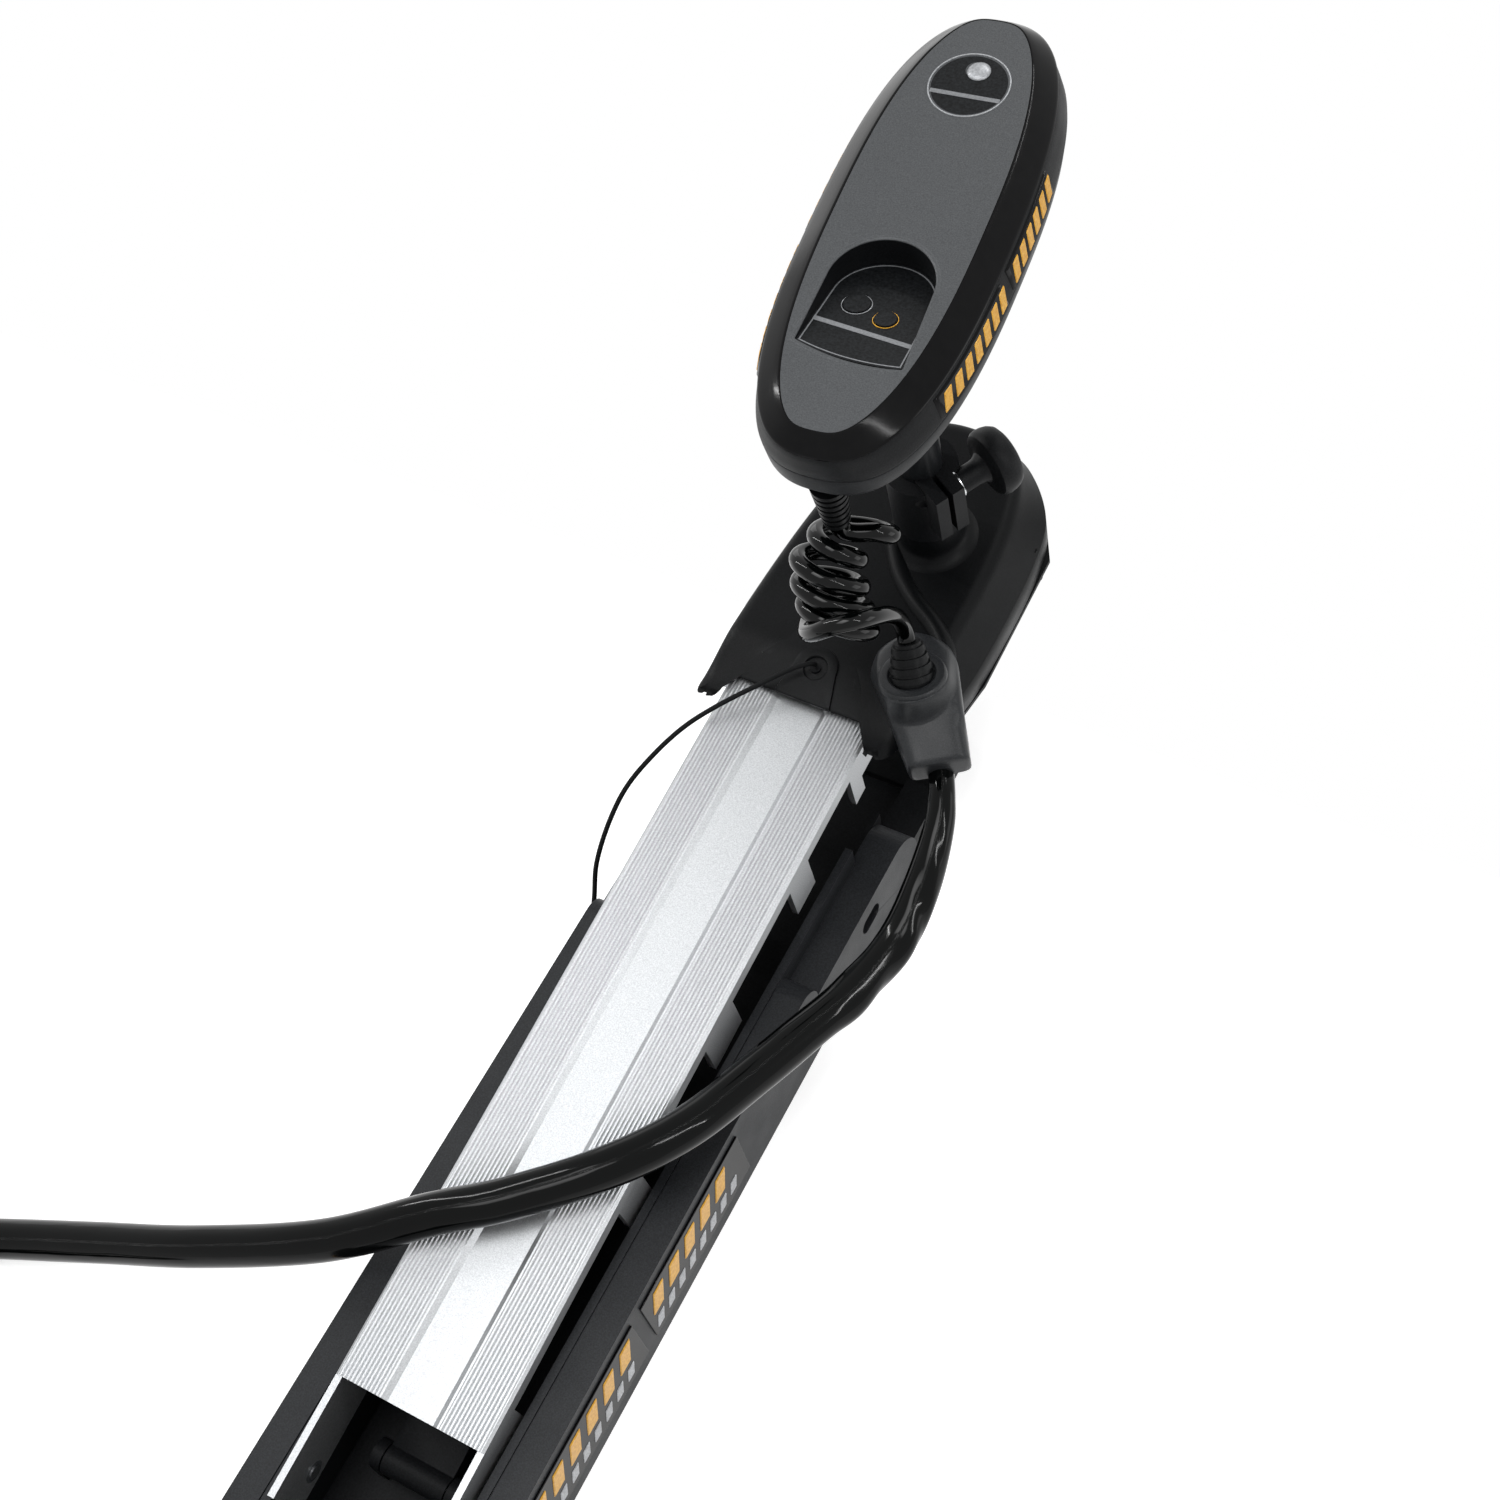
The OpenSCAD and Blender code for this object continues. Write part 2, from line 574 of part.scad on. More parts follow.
module housing_floor() color("#151617") arm_frame() difference() {
  union() {
    translate([0, 0, cowl_low - floor_t]) linear_extrude(floor_t - 0.02) polygon(low_outline);
    both_sides() translate([lug_in + 1, end_y - hook_back, -end_drop - 12])
      cube([lug_t - 1, hook_back + hook_front + 12, end_drop + 12 + cowl_low - 1]);
    both_sides() translate([lug_in + 1, low_outline[0][1] - 1, cowl_low - floor_t - 6]) cube([lug_t - 1,
      40, 7]);
  }
  translate([shaft_x, shaft_y, cowl_low - 20]) cylinder(r = bush_r + fix_gap, h = 40);
  for (p = screw_spots) translate([p[0], p[1], cowl_low - 20]) cylinder(d = 5, h = 40);
  translate([-link_w, end_y, -end_drop]) rotate([0, 90, 0]) cylinder(r = hook_front, h = 2 * link_w);
  translate([-link_w, end_y - hook_back - 1, -end_drop - 20])
    cube([2 * link_w, hook_back + hook_front + 1, 20]);
  translate([-link_w, end_y - hook_back - 1, -end_drop - 1]) cube([2 * link_w, hook_back + 1,
    hook_front + 1]);
}
module housing_screws() color("#77797c") arm_frame() for (p = screw_spots) translate([p[0], p[1], 0]) {
  translate([0, 0, cowl_low - floor_t - 3]) cylinder(d = 9, h = 2.98);
  translate([0, 0, cowl_low - floor_t - 0.03]) cylinder(d = 4.3, h = cowl_mid - cowl_low + floor_t + 3);
}
module hinge_pins() color("#8d9094") arm_frame() translate([0, arm_len, -hinge_drop]) both_sides()
  x_rod(pin_d, arm_w / 2 - arm_flange_t - 1, ear_out);

// Cord block on the housing's starboard quarter, with the ribbed relief that stands in it
module block_place() arm_frame() translate([block_origin[0], block_origin[1], 0]) rotate([0, 0, block_turn])
  children();
block_rise = 26;
block_end = 18;
module cord_block() color("#1c1d1f") difference() {
  block_place() union() {
    hull() {
      translate([-6, 12, cowl_top]) cylinder(d = 58, h = block_rise, $fn = 32);
      translate([-14, -lip_back, cowl_top]) cube([44, 24, block_end - cowl_top]);
    }
    translate([-14, -lip_back, -6]) cube([44, 28, cowl_top + 7]);
  }
  block_axis() translate([0, 0, -2]) cylinder(r = block_relief_r + fix_gap, h = 80);
}
// Outline of a ribbed relief: its radius falls from r by slim over its length
function ribbed(r, slim, long, n) = [for (i = [0:n - 1], q = rib_run)
  [r - (i + q[0]) * slim / n - q[1] * rib_cut, (i + q[0]) * long / n]];
module block_relief() color("#121314") block_axis() rotate_extrude() polygon(concat([[0, -2],
  [block_relief_r, -2]],
  ribbed(block_relief_r, block_relief_slim, block_relief_len, block_ribs), [[0, block_relief_len]]));

// Keyhole plate round the pull cord, and the latch pin that the cord lifts
pull_x = 3;
pull_y = arm_len + 22;
latch_d = 8;
latch_low = -40;
module pull_plate() color("#26282a") arm_frame() difference() {
  translate([pull_x, pull_y, cowl_top]) union() {
    cylinder(r = 17, h = 2.4);
    linear_extrude(2.4) polygon([[-17, 0], [17, 0], [24, lip_y - pull_y + 2], [-24, lip_y - pull_y + 2]]);
  }
  translate([pull_x, pull_y, 0]) cylinder(r = 9, h = 40);
}
module latch_pin() color("#9a9da0") arm_frame() translate([pull_x, pull_y, latch_low])
  cylinder(d = latch_d, h = cowl_top - latch_low);

// Steering drive: motor, pinion, gear, sleeve and bushes
module steer_motor() color("#55585c") arm_frame() pinion_place() {
  translate([0, 0, gear_z + gear_t + 3]) cylinder(r = motor_r,
    h = cowl_top - cowl_wall - gear_z - gear_t - 4);
  translate([0, 0, cowl_top - cowl_wall - 2]) cylinder(r = motor_r - 4, h = 1.9);
}
module teeth(n, phase) {
  r = gear_m * n / 2;
  polygon([for (i = [0:n - 1], q = [[-0.30, -1.25], [-0.14, 0.8], [0.14, 0.8], [0.30, -1.25]])
    (r + q[1] * gear_m) * [cos((i + q[0]) * 360 / n + phase), sin((i + q[0]) * 360 / n + phase)]]);
}
module steer_pinion() color("#b08d46") arm_frame() pinion_place() translate([0, 0, gear_z]) difference() {
  union() {
    linear_extrude(gear_t) teeth(pinion_n, 0);
    translate([0, 0, gear_t - 0.1]) cylinder(r = 4.5, h = 2.8);
  }
  translate([0, 0, -1]) cylinder(r = 1.5, h = gear_t);
}
module steer_gear() color("#b08d46") shaft_frame() translate([0, 0, gear_z]) difference() {
  linear_extrude(gear_t) teeth(gear_n, 180 + 180 / gear_n);
  translate([0, 0, -1]) cylinder(r = sleeve_r + fix_gap, h = gear_t + 2);
}
module drive_sleeve() color("#6c6f73") shaft_frame() difference() {
  translate([0, 0, sleeve_low]) cylinder(r = sleeve_r, h = collar_z - sleeve_low - 0.05);
  translate([0, 0, sleeve_low - 1]) cylinder(r = sleeve_in, h = 300);
}
module upper_bush() color("#3a3c3e") shaft_frame() difference() {
  translate([0, 0, cowl_top - cowl_wall]) cylinder(r = bush_r, h = boss_h + cowl_wall);
  translate([0, 0, -1]) cylinder(r = bush_in, h = 200);
}
module lower_bush() color("#3a3c3e") shaft_frame() difference() {
  translate([0, 0, cowl_low - floor_t]) cylinder(r = bush_r, h = floor_t + 5);
  translate([0, 0, cowl_low - 20]) cylinder(r = bush_in, h = 200);
}

// Depth collar with a slit and clamp ears, and the knob with its screw
module depth_collar() color("#1b1c1e") difference() {
  collar_frame() difference() {
    union() {
      translate([0, 0, collar_z]) cylinder(d = collar_d, h = collar_h);
        translate([0, -ear_t - slit_w / 2, collar_z + clamp_low])
        cube([collar_d / 2 + collar_reach, 2 * ear_t + slit_w, collar_h - clamp_low + clamp_over]);
    }
    translate([0, -slit_w / 2, collar_z - 1]) cube([100, slit_w, collar_h + 20]);
    translate([knob_x, 0, knob_z]) y_rod(2 * (screw_r + 0.1), -40, 40);
    translate([knob_x, 0, knob_z]) y_rod(2 * (knob_stem_r + 1), ear_t + slit_w / 2, 40);
  }
  shaft_frame() translate([0, 0, collar_z - 1]) cylinder(r = shaft_r + run_gap, h = collar_h + 20);
}
knob_x = collar_d / 2 - 3.5;
knob_z = collar_z + collar_h * 0.83;
module collar_knob() color("#1d1e20") collar_frame() translate([knob_x, 0, knob_z]) {
  y_rod(2 * screw_r, -ear_t - slit_w / 2, ear_t + slit_w / 2 + 1);
  y_rod(2 * knob_stem_r, ear_t + slit_w / 2 + free_gap, ear_t + slit_w / 2 + knob_stem);
  translate([0, ear_t + slit_w / 2 + knob_stem, 0]) rotate([-90, 0, 0]) rotate_extrude()
    polygon([[0, -1], [knob_d / 2 - 4, -1], [knob_d / 2 - 1, 1], [knob_d / 2, 4], [knob_d / 2, knob_t - 6],
      [knob_d / 2 - 2.5, knob_t - 2], [knob_d / 2 - 7, knob_t], [0, knob_t]]);
}

// Motor shaft
pod_neck = 34;
shaft_top = head_z - head_depth + 26;
module shaft_tube() color("#4a4d51") shaft_frame() difference() {
  translate([0, 0, -pod_drop + pod_r + 4]) cylinder(r = shaft_r, h = shaft_top + pod_drop - pod_r - 4);
  translate([0, 0, -pod_drop]) cylinder(r = shaft_r - shaft_wall, h = 2000);
}

// Control head
module head_outline(inset) hull() {
  translate([0, rear_y]) circle(r = head_rear_r - inset, $fn = 40);
  translate([0, mid_y]) circle(r = head_mid_r - inset, $fn = 48);
  translate([0, front_y]) circle(r = head_front_r - inset, $fn = 40);
}
module slab(inset, z, t) translate([0, 0, z]) linear_extrude(t) head_outline(inset);
skirt_low = -18;
skirt_t = 2;
module head_upper() color("#0d0e0f") head_frame() difference() {
  union() {
    difference() {
      hull() {
        slab(0, -head_upper_h, head_upper_h);
        slab(chamfer_w, chamfer_h, 0.01);
      }
      hull() {
        slab(head_wall, -head_upper_h - 1, head_upper_h);
        slab(chamfer_w + head_wall, chamfer_h - head_wall - plate_t - roof_drop, 0.01);
      }
    }
    translate([0, panel_y, skirt_low]) linear_extrude(chamfer_h - plate_t - 1 - skirt_low)
      panel_shape(skirt_t + 0.1);
  }
  slab(chamfer_w + 1, chamfer_h - plate_t, 10);
  translate([0, panel_y, skirt_low - 1]) linear_extrude(50) panel_shape(0.1);
  panel_place() translate([0, panel_y, -panel_t - free_gap]) linear_extrude(panel_t + 1) panel_shape(0.1);
  translate([0, badge_y, -5]) cylinder(r = badge_r - 6, h = 50);
}
module head_lower() color("#26282a") difference() {
  union() {
    head_frame() difference() {
      hull() {
        slab(0.6, -head_upper_h - 14, 14 - free_gap);
        slab(head_foot_in, -head_depth, 0.01);
      }
      hull() {
        slab(0.6 + head_wall, -head_upper_h - 14, 15);
        slab(head_foot_in + head_wall, -head_depth + head_wall, 0.01);
      }
    }
    shaft_frame() translate([0, 0, head_z - head_depth - 2]) cylinder(r = shaft_r + 6, h = 30);
    head_frame() for (p = board_post) translate([p[0], p[1], -head_depth + 1]) cylinder(r = 4.5,
      h = head_depth + board_z - 1);
  }
  shaft_frame() translate([0, 0, head_z - head_depth - 40]) cylinder(r = shaft_r + fix_gap, h = 120);
  head_frame() for (p = board_post) translate([p[0], p[1], -head_depth - 10]) cylinder(r = 1.6, h = 60);
  head_frame() translate([relief_x, relief_y, -head_depth - 10]) cylinder(r = 7, h = 40);
}
module head_top_plate() color("#55585b") head_frame() difference() {
  slab(chamfer_w + 1.1, chamfer_h - plate_t + 0.02, plate_t);
  translate([0, panel_y, skirt_low - 1]) linear_extrude(50) panel_shape(0.1);
  translate([0, badge_y, -5]) cylinder(r = badge_r + 0.1, h = 50);
}
// Recessed panel: an arch with straight sides and a shallow curved foot
panel_half = 38;
panel_arch = 34;
panel_foot = -24;
module panel_place() translate([0, panel_y + panel_foot, panel_rise]) rotate([-panel_slope, 0, 0])
  translate([0, -panel_foot - panel_y, 0]) children();
module on_panel() head_frame() panel_place() children();
module panel_shape(grow) offset(delta = grow) intersection() {
  union() {
    translate([0, panel_arch]) circle(r = panel_half - 2);
    polygon([[-panel_half, panel_foot], [panel_half, panel_foot], [panel_half - 2, panel_arch],
      [2 - panel_half, panel_arch]]);
  }
  translate([0, panel_foot + 140]) circle(r = 146, $fn = 96);
}
module control_panel() color("#151617") on_panel() difference() {
  translate([0, panel_y, -panel_t]) linear_extrude(panel_t) panel_shape(0);
  for (b = [[big_button, big_r], [small_button, small_r]]) translate([b[0][0], b[0][1], -2 * panel_t])
    cylinder(r = b[1] + button_gap, h = 4 * panel_t);
}
module button_at(b, r) on_panel() translate([b[0], b[1], -button_body]) cylinder(r = r,
  h = button_body + button_travel + button_sill);
module button_large() color("#1d1e20") button_at(big_button, big_r);
module button_small() color("#2a2418") button_at(small_button, small_r);
module badge_ring() color("#b9bcbf") head_frame() translate([0, badge_y, chamfer_h - plate_t + 0.02])
  difference() {
  cylinder(r = badge_r, h = plate_t + 0.8);
  translate([0, 0, -1]) cylinder(r = badge_r - 2.5, h = 10);
}
module badge_disc() color("#191a1c") head_frame() translate([0, badge_y, chamfer_h - plate_t + 0.02])
  difference() {
  cylinder(r = badge_r - 2.52, h = plate_t);
  translate([0, 14, plate_t - 1]) cylinder(r = 7.02, h = 10);
}

// Plain accent stripes on the head's flat flanks
head_runs = [[-aft_slope, -118, -24], [fore_slope, 2, 70]];
head_back_low = -21;
head_back_h = 17;
head_back_t = 1.6;
head_gold_low = -16;
head_gold_h = 8;
head_gold_end = 3;
module on_head_side(run) head_frame() both_sides()
  translate([head_mid_r * cos(run[0]), mid_y + head_mid_r * sin(run[0]), 0]) rotate([0, 0, run[0]])
    children();
module head_stripe_backs() color("#111213") for (r = head_runs) on_head_side(r)
  translate([0.03, r[1], head_back_low]) cube([head_back_t, r[2] - r[1], head_back_h]);
module head_gold_stripes() color("#e0a325") for (r = head_runs) on_head_side(r)
  translate([head_back_t + 0.05, r[1] + head_gold_end, head_gold_low])
    cube([stripe_t, r[2] - r[1] - 2 * head_gold_end, head_gold_h]);

// Control board on its posts, and the screws from below
module control_board() color("#1f5a34") head_frame() difference() {
  translate([-42, -48, board_z + 0.02]) cube([84, 116, 1.6]);
  for (p = board_post) translate([p[0], p[1], board_z - 5]) cylinder(r = 1.7, h = 10);
  shaft_hole();
}
module shaft_hole() translate([-head_shift, 0, -60]) cylinder(r = shaft_r + 10, h = 100);
module head_screws() color("#77797c") head_frame() for (p = board_post) translate([p[0], p[1], 0]) {
  translate([0, 0, -head_depth - 2]) cylinder(r = 3.2, h = 1.98);
  translate([0, 0, -head_depth - 0.05]) cylinder(r = 1.55, h = head_depth + board_z + 3);
}
module head_relief() color("#121314") head_frame() translate([relief_x, relief_y, -head_depth - 0.05]) {
  mirror([0, 0, 1]) rotate_extrude() polygon(concat([[0, 0]],
    ribbed(relief_r, relief_slim, relief_len, relief_ribs), [[0, relief_len]]));
  cylinder(r = 6.9, h = head_wall + 6);
}

// Lower unit
module motor_body() color("#2c2e31") difference() {
  union() {
    pod_frame() y_rod(pod_d, pod_back, pod_fore);
    shaft_frame() translate([0, 0, -pod_drop + pod_r - 8]) cylinder(r = shaft_r + 7, h = 8 + pod_neck);
  }
  pod_frame() y_rod(pod_d - 2 * pod_wall, pod_back - 1, pod_fore + 1);
  shaft_frame() translate([0, 0, -pod_drop + pod_r + 4 - 0.02]) cylinder(r = shaft_r + fix_gap, h = 200);
  shaft_frame() translate([0, 0, -pod_drop]) cylinder(r = shaft_r - shaft_wall, h = 200);
  for (p = skeg_pins) pod_frame() translate([0, p, -pod_r - 1]) cylinder(d = 4 + 2 * fix_gap, h = 12);
}
function dome(r, l, n) = [for (i = [0:n]) [r * cos(90 * i / n), l * sin(90 * i / n)]];
module motor_nose() color("#2c2e31") pod_frame() translate([0, pod_fore + 0.02, 0]) rotate([-90, 0, 0]) {
  rotate_extrude() polygon(concat(dome(pod_r, nose_len, 12), [[0, 0]]));
  translate([0, 0, -8]) difference() {
    cylinder(r = pod_r - pod_wall - fix_gap, h = 8.1);
    translate([0, 0, -1]) cylinder(r = bearing_r + fix_gap, h = 8);
  }
}
module motor_tail() color("#2c2e31") pod_frame() translate([0, pod_back - 0.02, 0]) rotate([90, 0, 0])
  difference() {
  union() {
    cylinder(r1 = pod_r, r2 = tail_r, h = tail_len);
    translate([0, 0, -8]) cylinder(r = pod_r - pod_wall - fix_gap, h = 8.1);
  }
  translate([0, 0, -20]) cylinder(r = prop_shaft_d / 2 + 1, h = 100);
  translate([0, 0, -20]) cylinder(r = bearing_r + fix_gap, h = 19);
}
bearing_r = 14;
bearing_w = 7;
module bearing() difference() {
  cylinder(r = bearing_r, h = bearing_w);
  translate([0, 0, -1]) cylinder(r = prop_shaft_d / 2 + run_gap, h = 20);
}
module bearings() color("#a9acb0") pod_frame() {
  translate([0, pod_back + 0.98, 0]) rotate([-90, 0, 0]) bearing();
  translate([0, pod_fore - 0.98, 0]) rotate([90, 0, 0]) bearing();
}
magnet_t = 6;
magnet_len = pod_len * 0.5;
module magnets() color("#4b4d50") pod_frame() for (s = [0, 180]) rotate([0, s, 0])
  translate([0, (pod_back + pod_fore) / 2 + magnet_len / 2, 0]) rotate([90, 0, 0])
    linear_extrude(magnet_len)
    difference() {
      circle(r = pod_r - pod_wall - 0.05);
      circle(r = pod_r - pod_wall - magnet_t);
      polygon([[0, 0], [-100, -70], [-100, -200], [100, -200], [100, -70]]);
      translate([-100, -100]) square([200, 108]);
    }
skeg_pins = [-40, 30];
module skeg() color("#17181a") pod_frame() {
  difference() {
    along_x(-3, 3) polygon([[-70, -pod_r + 4], [60, -pod_r + 4], [36, -pod_r - 40], [-20, -pod_r - 104],
      [-62, -pod_r - 104],
      [-48, -pod_r - 50]]);
    y_rod(pod_d + 0.1, -200, 200);
  }
  for (p = skeg_pins) translate([0, p, -pod_r - 6]) cylinder(d = 4, h = 9);
}
rotor_r = pod_r - pod_wall - magnet_t - 2;
prop_at = pod_back - tail_len - 3;
winding_in = 42;
commutator_d = 36;
commutator_in = 22;
module armature() color("#b5733a") pod_frame() {
  y_rod(2 * rotor_r, pod_back + winding_in, pod_fore - winding_in);
  y_rod(prop_shaft_d, prop_at - hub_len - 16, pod_fore - 2);
  y_rod(commutator_d, pod_fore - winding_in - 0.1, pod_fore - commutator_in);
}
blade_r = prop_d / 2;
blade_edge = [[-16, 0], [16, 0], [44, blade_r * 0.52], [34, blade_r * 0.88], [6, blade_r],
  [-20, blade_r * 0.84], [-30, blade_r * 0.44]];
module propeller() color("#101112") pod_frame() difference() {
  union() {
    translate([0, prop_at, 0]) rotate([90, 0, 0]) cylinder(r1 = tail_r - 1, r2 = hub_r - 6, h = hub_len);
    for (s = [0, 180]) rotate([0, s, 0]) translate([0, prop_at - hub_len / 2, 0]) rotate([0, 0, 28])
      translate([0, -blade_t / 2, 0]) rotate([-90, 0, 0]) linear_extrude(blade_t)
        polygon([for (q = blade_edge) [q[0], -q[1]]]);
  }
  y_rod(prop_shaft_d + 2 * fix_gap, prop_at - hub_len - 40, prop_at + 20);
}
module prop_nut() color("#8d9094") pod_frame() translate([0, prop_at - hub_len - 0.05, 0]) rotate([90, 0,
  0]) difference() {
  cylinder(r = 12, h = 12, $fn = 6);
  translate([0, 0, -1]) cylinder(r = prop_shaft_d / 2 + fix_gap, h = 20);
}

// Curly control cord from the head down to the block
function head_to_arm(p) = let (q = [p[0] + head_shift, p[1] * cos(head_tilt) - p[2] * sin(head_tilt),
    p[1] * sin(head_tilt) + p[2] * cos(head_tilt) + head_z])
  [shaft_x + q[0] * cos(head_yaw) - q[1] * sin(head_yaw), shaft_y + q[0] * sin(head_yaw)
    + q[1] * cos(head_yaw), q[2]];
cord_top = head_to_arm([relief_x, relief_y, -head_depth - relief_len - 0.1]);
cord_top_way = unit(head_to_arm([relief_x, relief_y, -head_depth - relief_len - 1]) - cord_top);
block_way = [sin(block_tilt) * cos(block_az), sin(block_tilt) * sin(block_az), cos(block_tilt)];
cord_end = block_at + (block_relief_len + 0.1) * block_way;
curl_mid = [[39, 641, 153], [29, 614, 156], [28, 600, 143], [33, 592, 127], [37, 586, 111], [40, 580, 96]];
curl_swell = [-1, -5, -0.5, 0, 0, 0];
curl_right = [0.938, 0.222, -0.268];
curl_near = [0.347, -0.638, 0.688];
curl_from = 0.08;
curl_to = 4.75;
curl_rings = 12;
curl_steps = round(curl_rings * (curl_to - curl_from));
function curl(t) = let (i = min(floor(t), len(curl_mid) - 2), r = curl_r + bend(curl_swell, i, t - i),
    a = 90 - 360 * t)
  bend(curl_mid, i, t - i) + r * (cos(a) * curl_right + sin(a) * curl_near);
curls = [for (i = [0:curl_steps]) curl(curl_from + (curl_to - curl_from) * i / curl_steps)];
first_way = unit(curls[1] - curls[0]);
last_way = unit(curls[curl_steps] - curls[curl_steps - 1]);
run_mid = [62, 566, 151];
run_way = unit([0.79, 0.61, -0.08]);
top_handle = 20;
first_handle = 10;
last_handle = 36;
run_handle = 20;
past_handle = 24;
block_handle = 27;
cord_in = cord_top + cord_stub * cord_top_way;
cord_out = cord_end + cord_stub * block_way;
cord_pts = concat([cord_top],
  [for (i = [0:7]) bezier(cord_in, cord_in + top_handle * cord_top_way, curls[0] - first_handle * first_way,
    curls[0], i / 8)],
  curls,
  [for (i = [1:8]) bezier(curls[curl_steps], curls[curl_steps] + last_handle * last_way,
    run_mid - run_handle * run_way, run_mid, i / 8)],
  [for (i = [1:10]) bezier(run_mid, run_mid + past_handle * run_way, cord_out + block_handle * block_way,
    cord_out, i / 10)],
  [cord_end]);
module coil_cord() color("#0b0c0d") arm_frame() tube(cord_pts, cord_d, 6, [1, 0, 0]);

// Power lead: the stretch over the mount, the put-away turns on the deck and its plug
module power_lead() color("#0b0c0d") tube(smooth(lead_pts, 3), lead_d, 10, [0, 0, 1]);

coil_steps = 26;
coil_first = 0.003;
coil_pts = concat([lead_turn(0)],
  [for (i = [0:coil_steps]) lead_turn(coil_first + (1 - coil_first) * i / coil_steps)]);
coil_last = coil_pts[coil_steps + 1];
coil_way = unit(coil_last - coil_pts[coil_steps]);
module lead_coil() color("#0b0c0d") tube(coil_pts, lead_d, 10, [0, 0, 1]);
module power_plug() color("#1a1b1c") translate(coil_last + 0.1 * coil_way + [0, 0,
  plug_r + 0.2 - 15.2])
  rotate([0, 0, atan2(coil_way[1], coil_way[0]) - 90]) {
    y_rod(lead_d, 0, 16);
    y_rod(2 * plug_r, 14, 14 + plug_len);
    for (x = [-7, 7]) translate([x, 0, 0]) y_rod(6, 14, 14 + plug_len + 12);
  }

// Pull cord from the latch to outside the port plate, and its grip on the deck
module pull_cord() color("#0b0c0d") tube(smooth(pull_pts, 2), pull_d, 8, [0, 0, 1]);
module pull_grip() color("#17181a") translate(pull_pts[len(pull_pts) - 1]) {
  y_rod(10, -grip_len, -0.05);
  translate([0, -grip_len / 2, 0]) cylinder(d = 7, h = 6);
}

base_channel();
side_plate_left();
side_plate_right();
plate_screws();
plate_stripe_backs();
plate_gold_stripes();
rest_bracket();
rest_roller();
arm_pivot_pins();
link_pin();
outer_arm();
arm_bushes();
inner_arm();
link_end_pin();
housing_body();
housing_cover();
housing_floor();
housing_screws();
hinge_pins();
cord_block();
block_relief();
pull_plate();
steer_motor();
upper_bush();
lower_bush();
latch_pin();
steer_pinion();
drive_sleeve();
steer_gear();
depth_collar();
collar_knob();
shaft_tube();
head_lower();
head_upper();
head_top_plate();
badge_ring();
badge_disc();
control_panel();
button_large();
button_small();
head_stripe_backs();
head_gold_stripes();
control_board();
head_screws();
head_relief();
motor_body();
motor_nose();
motor_tail();
magnets();
bearings();
skeg();
armature();
propeller();
prop_nut();
coil_cord();
power_lead();
lead_coil();
power_plug();
pull_cord();
pull_grip();
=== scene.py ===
# %% [markdown]
# # A bow-mount trolling motor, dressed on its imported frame
# The construction solids come in as a fixed frame of rigid bodies. This lesson keeps every solid
# whose shape is right, gives it a finish, and lays finer surfaces over the rest. Everything is in
# metres, X to starboard, Y to the bow, Z up, with the deck at Z = 0.

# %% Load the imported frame
import json
import bpy
import bmesh
import numpy as np
from mathutils import Matrix, Vector

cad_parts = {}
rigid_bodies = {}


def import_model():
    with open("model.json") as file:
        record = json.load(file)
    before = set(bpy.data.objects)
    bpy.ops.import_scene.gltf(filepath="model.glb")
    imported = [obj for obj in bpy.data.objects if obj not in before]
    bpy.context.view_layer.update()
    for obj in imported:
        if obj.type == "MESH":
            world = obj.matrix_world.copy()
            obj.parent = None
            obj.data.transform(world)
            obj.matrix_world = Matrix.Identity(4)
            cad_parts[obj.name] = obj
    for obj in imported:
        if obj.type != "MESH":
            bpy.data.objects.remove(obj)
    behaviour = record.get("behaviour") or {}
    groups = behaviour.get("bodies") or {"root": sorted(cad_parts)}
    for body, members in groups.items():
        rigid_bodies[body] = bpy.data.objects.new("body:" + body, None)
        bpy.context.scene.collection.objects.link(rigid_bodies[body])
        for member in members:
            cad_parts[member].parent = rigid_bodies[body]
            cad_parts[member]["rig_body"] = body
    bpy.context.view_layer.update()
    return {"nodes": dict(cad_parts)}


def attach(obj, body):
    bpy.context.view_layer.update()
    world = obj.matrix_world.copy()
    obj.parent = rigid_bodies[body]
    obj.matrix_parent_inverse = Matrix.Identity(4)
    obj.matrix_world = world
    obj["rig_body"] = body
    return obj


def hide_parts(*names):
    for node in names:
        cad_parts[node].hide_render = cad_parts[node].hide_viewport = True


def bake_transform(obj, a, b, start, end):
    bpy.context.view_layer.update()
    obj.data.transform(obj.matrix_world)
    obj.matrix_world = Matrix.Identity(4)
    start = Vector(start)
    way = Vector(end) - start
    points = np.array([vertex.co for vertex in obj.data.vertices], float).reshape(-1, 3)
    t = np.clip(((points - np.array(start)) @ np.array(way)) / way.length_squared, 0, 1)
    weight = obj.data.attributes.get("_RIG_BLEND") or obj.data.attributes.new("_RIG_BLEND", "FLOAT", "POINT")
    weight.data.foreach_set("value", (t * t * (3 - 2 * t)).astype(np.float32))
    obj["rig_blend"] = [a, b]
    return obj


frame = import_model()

MM = 0.001
nodes = frame["nodes"]

# %% [markdown]
# ## Where things are
# Each piece is drawn in plain millimetres in a frame of its own, one inside the other: the deck, the
# arm that slopes up by 4.9 degrees, the shaft square to the arm, and the head, the collar and the motor
# that turn with the shaft. A function carries a frame's points to the deck. That is easier to read than
# turned objects, and every finished object stays at the origin.

# %% Frames as functions on arrays of points
def turned(points, degrees, axis):
    """Points turned about an axis: the two other coordinates mix by the cosine and sine of the angle."""
    i, j = [(1, 2), (2, 0), (0, 1)][axis]
    c, s = np.cos(np.radians(degrees)), np.sin(np.radians(degrees))
    out = np.array(points, float)
    a, b = out[..., i].copy(), out[..., j].copy()
    out[..., i], out[..., j] = a * c - b * s, a * s + b * c
    return out


def joined(*parts):
    """Coordinates side by side on a last axis, all spread to one shape."""
    return np.stack(np.broadcast_arrays(*parts), axis=-1)


